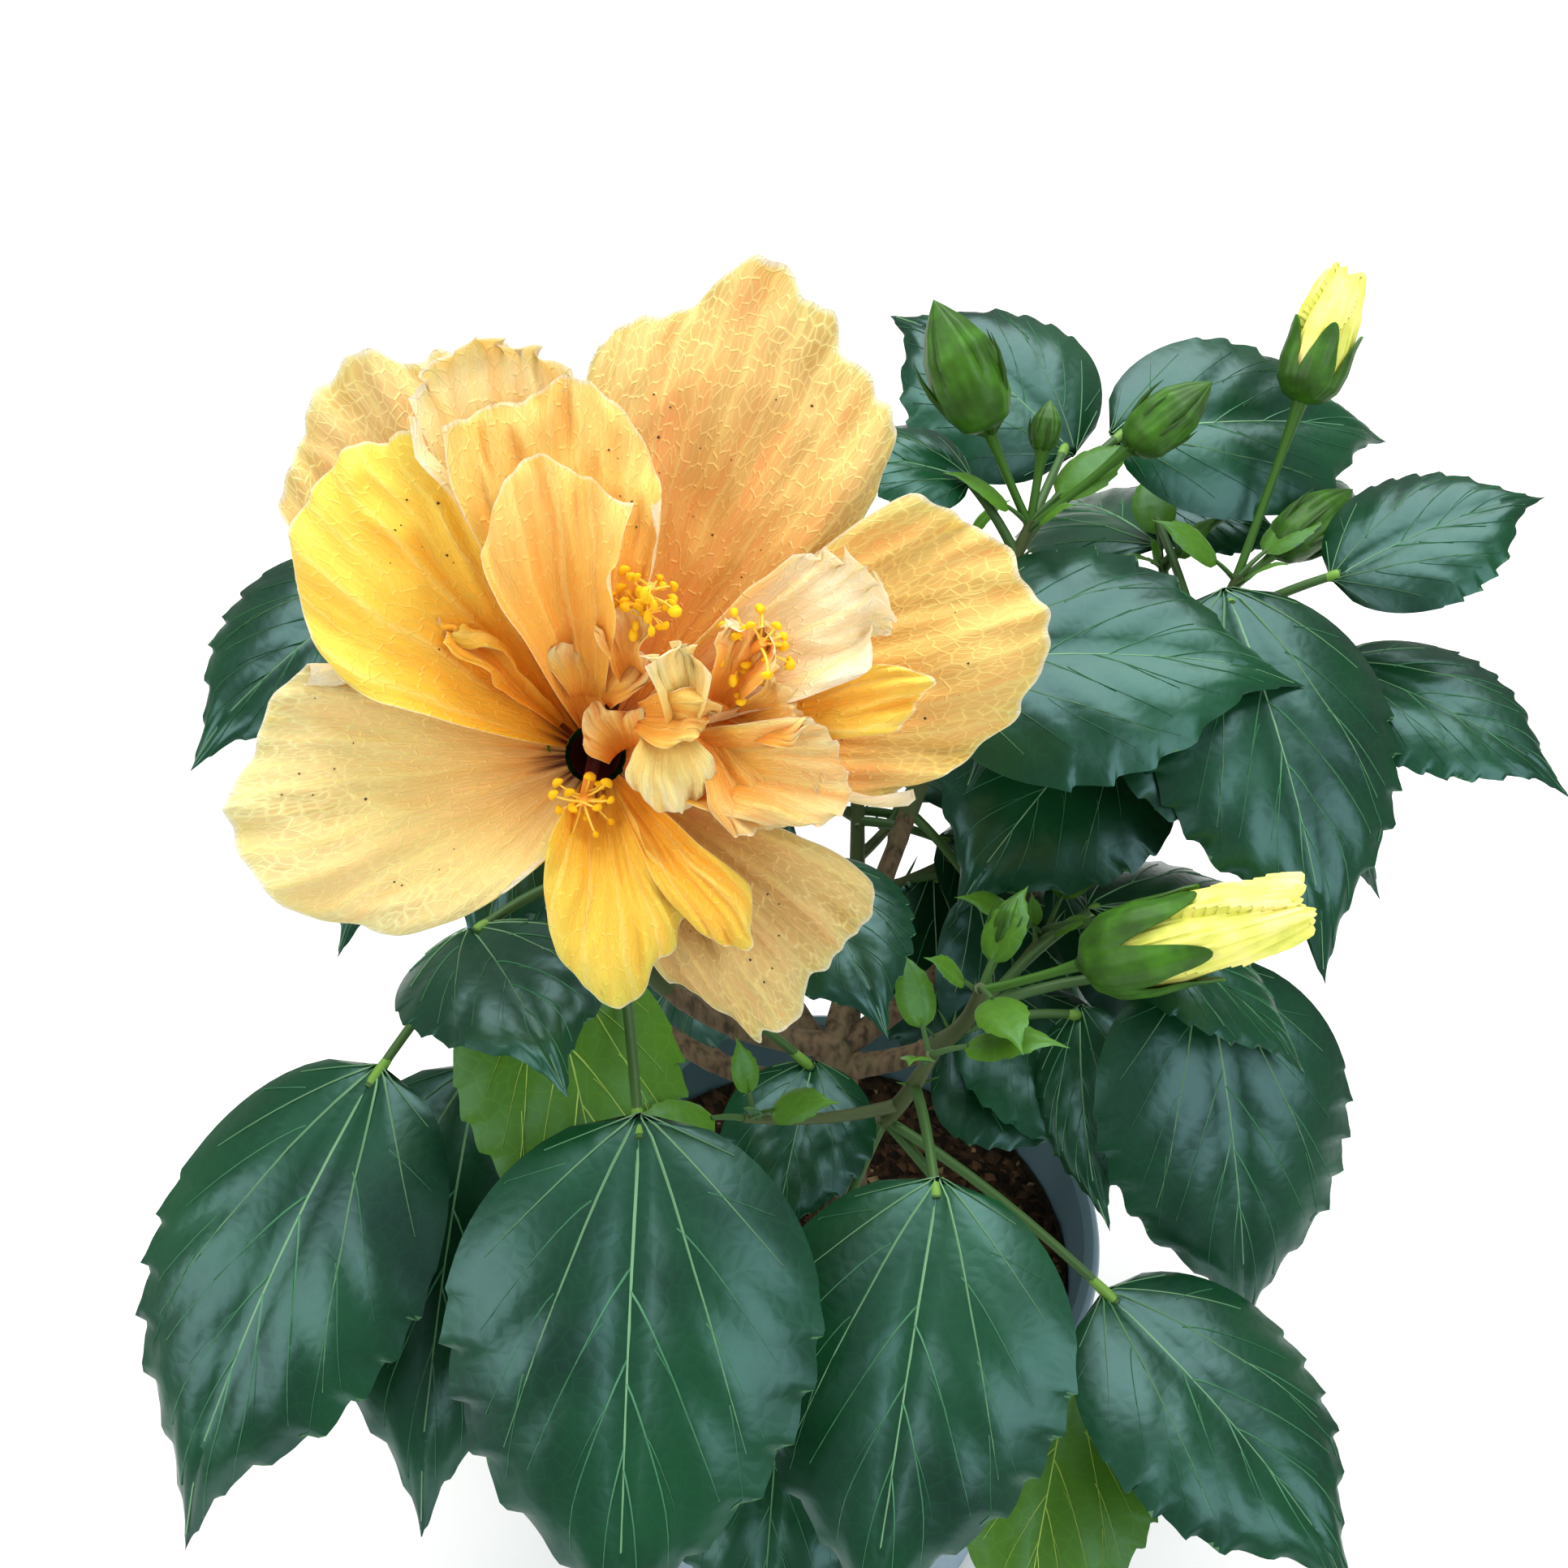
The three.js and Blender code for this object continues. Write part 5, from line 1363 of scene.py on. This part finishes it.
class SHRUB_OT_buds(bpy.types.Operator):
    """Makes the closed and opening buds"""

    bl_idname = "shrub.buds"
    bl_label = "Buds"

    def execute(self, context):
        look = context.scene.shrub_bloom
        cups, petals, slender = [], [], []
        for name, branch in BRANCHES.items():
            line, start = branch_line(branch), stem_start(branch)
            for k, (at, heading, stalk, lift, length, width) in enumerate(branch["buds"]):
                root = bend(line, mix(start, 0.995, at))
                axis = direction(heading, lift)
                base = root + axis * stalk
                path = (root, mix(root, base, 0.5) - (0, 0, 0.04 * stalk), base + 0.08 * length * axis)
                radii = (1.1, 1.0, 0.95, 0.95, 0.95, 1.0, 1.3, 1.9)
                slender.append(tubes([bend(path, np.linspace(0, 1, 8))], radii, 8, 0))
                seed = branch["seed"] + k
                cell = ((len(cups) % 3) / 3, (len(cups) // 3) / 3, 1 / 3, 1 / 3)
                if (name, k) in OPENING_BUDS:
                    cups.append(cup_lobes(base, axis, 0.58 * length, 1.03 * width, cell))
                    slender.append(bracts(base, axis, 8, 0.42 * length, 0.3, 1.5, 1, seed))
                    half, foot = (0.5 * len(petals), 0, 0.5, 1), base + 0.06 * length * axis
                    petals.append(furled_petals(foot, axis, 0.92 * length, 0.96 * width, half))
                else:
                    long, broad = 0.62 * length, 0.09 * width + 0.5
                    cups.append(round_bud(base, axis, length, 0.94 * width, cell))
                    slender.append(bracts(base - 0.3 * axis, axis, 7, long, 0.42, broad, 1, seed))
        deep, pale = shade(look.calyx, 0.62), shade(look.calyx, 1.7)
        piece = joined("bud_cups", cups, [young_tissue("bud_cup", deep, look.calyx, pale, 0.006)])
        piece = joined(
            "bud_bracts_and_stalks", slender,
            [plain_skin("bud_stalks", look.calyx, 0.5), plain_skin("bud_bracts", deep, 0.5)],
        )
        tissue = young_tissue("furled_petals", look.bud_green, look.bud_petal, look.bud_light, 0.009)
        petal = joined("furled_bud_petals", petals, [tissue], sharp=35)
        return {"FINISHED"}


# The bloom

BLOOM_OUT = direction(BLOOM_HEADING, BLOOM_LIFT)
BLOOM_RIGHT = direction(BLOOM_HEADING + 90, 0)
BLOOM_UP = np.cross(BLOOM_OUT, BLOOM_RIGHT)


def bloom_point(right, up, out):
    """A point of the bloom's own frame: right and up as seen from in front, out along its axis."""
    right, up, out = (np.asarray(x, float)[..., None] for x in (right, up, out))
    return np.array(BLOOM_EYE) + right * BLOOM_RIGHT + up * BLOOM_UP + out * BLOOM_OUT


def petal_skin(petal, along, across, place, frill, crumple, peaks, fuller):
    """A petal as the source has it, with its finish. Along runs from root to rim, across from -1 to 1 over an
    angle of twice its spread, reach = start + (length - start) along rim, and height = root + rise (1 - (1 -
    along)^2) - droop along^3 + cup half across^2 + ripples. Corners are rounded, peaks and notches shape the
    rim, creases run out from the root as 0.9 - 2.4 |bumps|, lower on short petals, and the whole crumples by
    an uneven field. Returns the points and the place on the flat petal."""
    aim, spread, length, left, right, root, rise, droop, cup, ruffle, ripples, phase = petal
    seed = int(abs(aim) + 10 * phase)
    side, spread_more, edge = fuller
    left, right = edge if side > 0 else left, edge if side < 0 else right
    wider = np.where(across * side > 0, spread_more, 1)
    angle = np.radians(aim + spread * wider * across * (1 - 0.14 * along**5))
    beat = ripples * across + phase
    notch = 0.9 * np.sin(0.9 * beat + 2 * phase) + 0.55 * np.sin(2.3 * beat + phase)
    notch = notch + 0.35 * np.sin(5.9 * beat)
    rounded = 1 - (1 - np.where(across > 0, left, right)) * across**2
    rim = rounded + 0.015 * np.sin(beat) + 0.012 * frill * notch
    for at, high, wide in peaks:
        rim = rim + high * np.exp(-(((across - at) / wide) ** 2)) * smooth_step(0.5, 1, along)
    reach = PETAL_START + (length - PETAL_START) * along * rim
    half = reach * np.sin(np.radians(spread))
    flat = np.stack([np.radians(spread) * across * VEIN_RADIUS, reach, np.zeros_like(reach)], axis=-1)
    fanned = flat * (1, 0.16, 1)
    crease = 0.9 - 2.4 * np.abs(bumps(fanned, 13, seed))
    fine = 0.8 - 2.0 * np.abs(bumps(fanned * (1, 1.6, 1), 5.5, seed + 1))
    calm = along**0.8 * (1 - np.abs(across) ** 8)
    crimp = np.sin(2.6 * beat + 1.3 * phase) + 0.5 * np.sin(5.3 * beat + 4 * along + phase)
    height = (
        root + rise * (1 - (1 - along) ** 2) - droop * along**3 + cup * half * across**2
        + ruffle * along**2 * np.sin(beat) + 1.2 * frill * along**6 * crimp
        + min(1.0, length / 40) * calm * (1.25 * crease + 0.8 * fine) * (0.8 + 0.6 * along)
    )
    points = bloom_point(place[0] + reach * np.cos(angle), place[1] + reach * np.sin(angle), height)
    spot = np.stack([reach * np.cos(angle), reach * np.sin(angle), 0 * reach], axis=-1)
    fold = 19 if length > 35 else 9
    drift = np.stack([bumps(spot, fold, seed + k) for k in (2, 3, 4)], axis=-1)
    small = np.stack([bumps(spot, 0.4 * fold, seed + k) for k in (5, 6, 7)], axis=-1)
    return points + crumple * (along**1.3)[..., None] * (drift + 0.28 * small), flat


def rolled(surface, first, radius, weight, hand):
    """Rolls a grid's last columns. From column first, the distance s along a row becomes sin(ks)/k along it
    and (1 - cos ks)/k off it along the normal, with k = weight / radius."""
    edge = surface[:, first]
    run = unit(surface[:, first + 1] - surface[:, first - 1])
    normal = hand * unit(np.cross(np.gradient(edge, axis=0), run))
    steps = np.linalg.norm(np.diff(surface[:, first:], axis=1), axis=-1)
    s = np.pad(np.cumsum(steps, axis=1), ((0, 0), (1, 0)))
    k = (weight / radius)[:, None]
    k = np.where(np.abs(k) < 1e-3, 1e-3, k)
    made = surface.copy()
    made[:, first:] = (
        edge[:, None] + run[:, None] * (np.sin(k * s) / k)[..., None]
        + normal[:, None] * ((1 - np.cos(k * s)) / k)[..., None]
    )
    return made


def petal_shape(name, petal, thickness, place, rows, columns, frill, crumple):
    """A petal's closed shell, with its margins rolled where SIDE_ROLLS and RIM_ROLLS say so."""
    along, across = np.meshgrid(np.linspace(0.01, 1, rows), np.linspace(-1, 1, columns), indexing="ij")
    peaks, fuller = RIM_PEAKS.get(name, ()), FULLER.get(name, (0, 1, 1))
    surface, flat = petal_skin(petal, along, across, place, frill, crumple, peaks, fuller)
    if name in SIDE_ROLLS:
        side, breadth, radius, start = SIDE_ROLLS[name]
        weight = smooth_step(start, start + 0.3, along[:, 0])
        first = int(columns * (1 - 0.5 * breadth))
        surface = rolled(surface[:, ::side], first, radius, weight, side)[:, ::side]
    if name in RIM_ROLLS:
        breadth, radius = RIM_ROLLS[name]
        turned = surface.transpose(1, 0, 2)
        first = int(rows * (1 - breadth))
        surface = rolled(turned, first, radius, 1 - across[0] ** 4, -1).transpose(1, 0, 2)
    inside = (1 - across**8) * (1 - along**14) * (1 - (1 - along) ** 40)
    pattern = flat[..., :2] * METRE + (petal[-1], 0)
    share = np.stack([0.5 + 0.5 * across, along], -1).reshape(-1, 2)
    return shell(surface, thickness * inside, (0, 1), pattern, share=share)


class SHRUB_OT_petals(bpy.types.Operator):
    """Makes the bloom's petals"""

    bl_idname = "shrub.petals"
    bl_label = "Petals"

    def execute(self, context):
        look = context.scene.shrub_bloom
        thickness = look.thickness / METRE
        tissue = {tint: petal_tissue(look, tint) for tint in PETAL_TINTS}
        rows = [(name, petal, (0, 0), *OUTER_FINISH) for name, petal in OUTER_PETALS.items()]
        rows += [(name, petal, (0, 0), *INNER_FINISH) for name, petal in INNER_PETALS.items()]
        rows += [(name, petal, place, *CRUMPLED_FINISH) for name, (*place, petal) in CRUMPLED_PETALS.items()]
        for name, petal, place, along, across, frill, crumple in rows:
            frill, crumple = FRILL.get(name, frill), CRUMPLE.get(name, crumple)
            shape = petal_shape(name, petal, thickness, place, along, across, frill, crumple)
            tint = PETAL_TINT[name]
            back = tint if tint in DEEP_TISSUE else BACK_TINT
            piece = joined(f"petal_{name}", shape, [tissue[tint], tissue[back]], sharp=70)
            if name == "upper_right":
                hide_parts("bloom")
        # Dust specks under half a millimetre, as flat grains on the outer and the larger inner petals
        rng = np.random.default_rng(5)
        seats = []
        for name, petal, place, *_, frill, crumple in rows[:SPECKLED_PETALS]:
            frill, peaks = FRILL.get(name, frill), RIM_PEAKS.get(name, ())
            spots = rng.uniform(0.45, 0.85, SPECKS_ON_EACH), rng.uniform(-0.6, 0.6, SPECKS_ON_EACH)
            points, _ = petal_skin(petal, *spots, place, frill, crumple, peaks, (0, 1, 1))
            seats.append(points + (0.5 * thickness + 0.05) * BLOOM_OUT)
        seats = np.concatenate(seats)
        flat = (GRAIN_CORNERS * (1, 1, 0.5)) @ np.stack([BLOOM_RIGHT, BLOOM_UP, BLOOM_OUT])
        points = seats[:, None] + rng.uniform(0.14, 0.34, (len(seats), 1, 1)) * flat
        faces = grain_faces(len(seats))
        specks = {"points": points.reshape(-1, 3), "faces": faces.reshape(-1, 3), "slot": 0}
        joined("petal_specks", [specks], [plain_skin("dark_speck", look.speck, 0.8)])
        return {"FINISHED"}


def anthers(seats, ways, size, slot):
    """Kidney-shaped pollen sacs: a small ball stretched crosswise, with its middle bent back."""
    rows, sides = 7, 8
    t = np.linspace(0, np.pi, rows)
    a = ring_angles(sides)
    x = np.broadcast_to(np.cos(t)[:, None], (rows, sides))
    y, z = np.sin(t)[:, None] * np.cos(a), np.sin(t)[:, None] * np.sin(a)
    spare = np.eye(3)[np.argmin(np.abs(ways), axis=1)]
    u = unit(np.cross(ways, spare))
    v = np.cross(ways, u)
    x, y, z = (part[..., None] for part in (0.95 * x, 0.6 * y, 0.62 * z - 0.35 * x**2))
    u, v, ways = (w[:, None, None, :] for w in (u, v, ways))
    points = seats[:, None, None, :] + size[:, None, None, None] * (x * u + y * v + z * ways)
    one = grid_faces(rows, sides, closed=True)
    faces = one[None] + (np.arange(len(seats)) * rows * sides)[:, None, None]
    return {"points": points.reshape(-1, 3), "faces": faces.reshape(-1, 4), "slot": slot}


class SHRUB_OT_heart(bpy.types.Operator):
    """Makes the bloom's dark eye, stamens, green cup and stalk"""

    bl_idname = "shrub.heart"
    bl_label = "Heart of the bloom"

    def execute(self, context):
        look = context.scene.shrub_bloom
        rng = np.random.default_rng(29)
        columns, threads, sacs = [], [], []
        for aim, tilt, length, count in STAMENS.values():
            a, e = np.radians(aim), np.radians(tilt)
            way = np.array((np.cos(e) * np.cos(a), np.cos(e) * np.sin(a), np.sin(e)))
            axis = way[0] * BLOOM_RIGHT + way[1] * BLOOM_UP + way[2] * BLOOM_OUT
            foot = bloom_point(0, 0, 4)
            tip = foot + 0.94 * length * axis
            low = mix(foot, tip, 0.62) - 0.22 * length * BLOOM_OUT
            curve = (foot, low, tip)
            columns.append(tubes([bend(curve, np.linspace(0, 0.42, 9))], np.linspace(1.3, 1.1, 9), 10, 3))
            columns.append(tubes([bend(curve, np.linspace(0.42, 1, 12))], np.linspace(1.1, 0.8, 12), 10, 0))
            share = rng.uniform(0.74, 1.0, count)
            start = bend(curve, share)
            turn = rng.uniform(0, 2 * np.pi, count)
            u = unit(np.cross(axis, (0.1, 0.2, 0.9)))
            v = np.cross(axis, u)
            out = around(turn, u, v) + 0.45 * axis
            long = rng.uniform(2.8, 7.4, count)
            tip = start + long[:, None] * unit(out) + rng.normal(0, 0.6, (count, 3))
            knee = mix(start, tip, 0.55) + (0.2 * long)[:, None] * axis
            s = np.linspace(0, 1, 6)[None, :, None]
            curve = (1 - s) ** 2 * start[:, None] + 2 * s * (1 - s) * knee[:, None] + s**2 * tip[:, None]
            threads.append(tubes(curve, (0.26, 0.24, 0.22, 0.2, 0.19, 0.19), 6, 1))
            sacs.append(anthers(tip, unit(out), rng.uniform(0.95, 1.3, count), 2))
        filament = plain_skin("stamen_threads", look.filament, 0.5)
        column = plain_skin("stamen_column", look.column, 0.5)
        pollen = plain_skin("pollen", look.anther, 0.85)
        dark = plain_skin("maroon_column", look.eye, 0.5)
        piece = joined("stamens", columns + threads + sacs, [column, filament, pollen, dark])
        # The eye is a small bowl: out = -1.5 + 6.2 t^1.5 at a radius of 4.3 t, and back 1.2 mm underneath.
        steps, sides = 18, 60
        a = ring_angles(sides)
        t = np.linspace(0, 1, steps)
        radius, out = 4.3 * np.concatenate([t, t[::-1]])[:, None], mix(-1.5, 4.7, t**1.5)
        out = np.concatenate([out, out[::-1] - 1.2])[:, None] + 0 * a
        points = bloom_point(radius * np.cos(a), radius * np.sin(a), out)
        eye = {"points": points.reshape(-1, 3), "faces": grid_faces(2 * steps, sides, closed=True), "slot": 0}
        piece = joined("dark_eye", [eye], [plain_skin("maroon_eye", look.eye, 0.5)])
        back = bloom_point(0, 0, -26)
        deep, pale = shade(look.calyx, 0.62), shade(look.calyx, 1.7)
        cup = cup_lobes(back, BLOOM_OUT, 27, 15.5, (0, 0, 1, 1))
        piece = joined("bloom_cup", [cup], [young_tissue("bloom_cup", deep, look.calyx, pale, 0.008)])
        tip = bend(branch_line(BRANCHES["bloom"]), 1.0)
        line = (tip, bloom_point(0, 0, -39), bloom_point(0, 0, -20.8))
        t = np.linspace(0, 1, 26)
        radii = 1.5 + 0.5 * np.exp(-(((t - 0.3) / 0.05) ** 2)) + 0.6 * t**6
        slender = [
            bracts(back - 0.5 * BLOOM_OUT, BLOOM_OUT, 7, 16, 0.45, 2.0, 1, 5),
            tubes([bend(line, t)], radii, 12, 0),
        ]
        piece = joined(
            "bloom_bracts_and_stalk", slender,
            [plain_skin("bloom_stalk", look.calyx, 0.5), plain_skin("bloom_bracts", deep, 0.5)],
        )
        return {"FINISHED"}


# The stage and the camera

def softbox(name, place, size, power, colour):
    """A square light of even brightness, turned so that it looks from its place at the plant."""
    light = bpy.data.lights.new(name, "AREA")
    light.shape, light.size, light.energy, light.color = "SQUARE", size, power, colour
    made = bpy.data.objects.new(name, light)
    bpy.context.scene.collection.objects.link(made)
    made.location = place
    far = unit(np.subtract(LIGHT_AIM, place))
    lift = np.arcsin(far[2])
    made.rotation_euler = (0.5 * np.pi + lift, 0, np.arctan2(-far[0], far[1]))


class SHRUB_OT_stage(bpy.types.Operator):
    """Makes the floor, the lights and the camera"""

    bl_idname = "shrub.stage"
    bl_label = "Stage"

    def execute(self, context):
        stage = context.scene.shrub_stage
        scene = context.scene
        camera = bpy.data.cameras.new("camera")
        camera.lens, camera.sensor_width = CAMERA["lens"], CAMERA["sensor"]
        holder = bpy.data.objects.new("camera", camera)
        scene.collection.objects.link(holder)
        holder.location = CAMERA["place"]
        holder.rotation_euler = (np.radians(CAMERA["tilt"]), 0, 0)
        scene.camera = holder
        scene.view_settings.view_transform = "Standard"
        mesh = bpy.data.meshes.new("floor")
        far = FLOOR_REACH
        mesh.from_pydata([(-far, -far, 0), (far, -far, 0), (far, far, 0), (-far, far, 0)], [], [(0, 1, 2, 3)])
        mesh.materials.append(plain_skin("pale_floor", stage.floor, 0.9))
        floor = bpy.data.objects.new("floor", mesh)
        scene.collection.objects.link(floor)
        for name, (place, size, share, colour) in SOFTBOXES.items():
            softbox(name, place, size, share * stage.softbox, colour)
        world = bpy.data.worlds.new("even_light")
        scene.world = world
        world.use_nodes = True
        sky = world.node_tree.nodes["Background"]
        sky.inputs["Color"].default_value = (1, 1, 1, 1)
        sky.inputs["Strength"].default_value = stage.fill
        return {"FINISHED"}


OPERATORS = (
    SHRUB_OT_stage, SHRUB_OT_pot, SHRUB_OT_soil, SHRUB_OT_wood, SHRUB_OT_foliage, SHRUB_OT_buds,
    SHRUB_OT_petals, SHRUB_OT_heart,
)
SETTINGS = {
    "shrub_pot": ShrubPotSettings, "shrub_wood": ShrubWoodSettings, "shrub_leaf": ShrubLeafSettings,
    "shrub_bloom": ShrubBloomSettings, "shrub_stage": ShrubStageSettings,
}


class SHRUB_PT_panel(bpy.types.Panel):
    """Lists the shrub's pieces and their settings"""

    bl_idname = "SHRUB_PT_panel"
    bl_label = "Potted hibiscus shrub"
    bl_space_type = "VIEW_3D"
    bl_region_type = "UI"
    bl_category = "Shrub"

    def draw(self, context):
        for operator in OPERATORS:
            self.layout.operator(operator.bl_idname)
        for name, group in SETTINGS.items():
            for key in group.__annotations__:
                self.layout.prop(getattr(context.scene, name), key)


def register():
    """Registers the settings, operators and panel."""
    for name, group in SETTINGS.items():
        bpy.utils.register_class(group)
        setattr(bpy.types.Scene, name, bpy.props.PointerProperty(type=group))
    for kind in (*OPERATORS, SHRUB_PT_panel):
        bpy.utils.register_class(kind)


def unregister():
    """Takes back what register did."""
    for kind in (SHRUB_PT_panel, *reversed(OPERATORS)):
        bpy.utils.unregister_class(kind)
    for name, group in reversed(SETTINGS.items()):
        delattr(bpy.types.Scene, name)
        bpy.utils.unregister_class(group)


def main():
    register()
    for operator in OPERATORS:
        area, made = operator.bl_idname.split(".")
        getattr(getattr(bpy.ops, area), made)()
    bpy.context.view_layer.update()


if __name__ == "__main__":
    main()
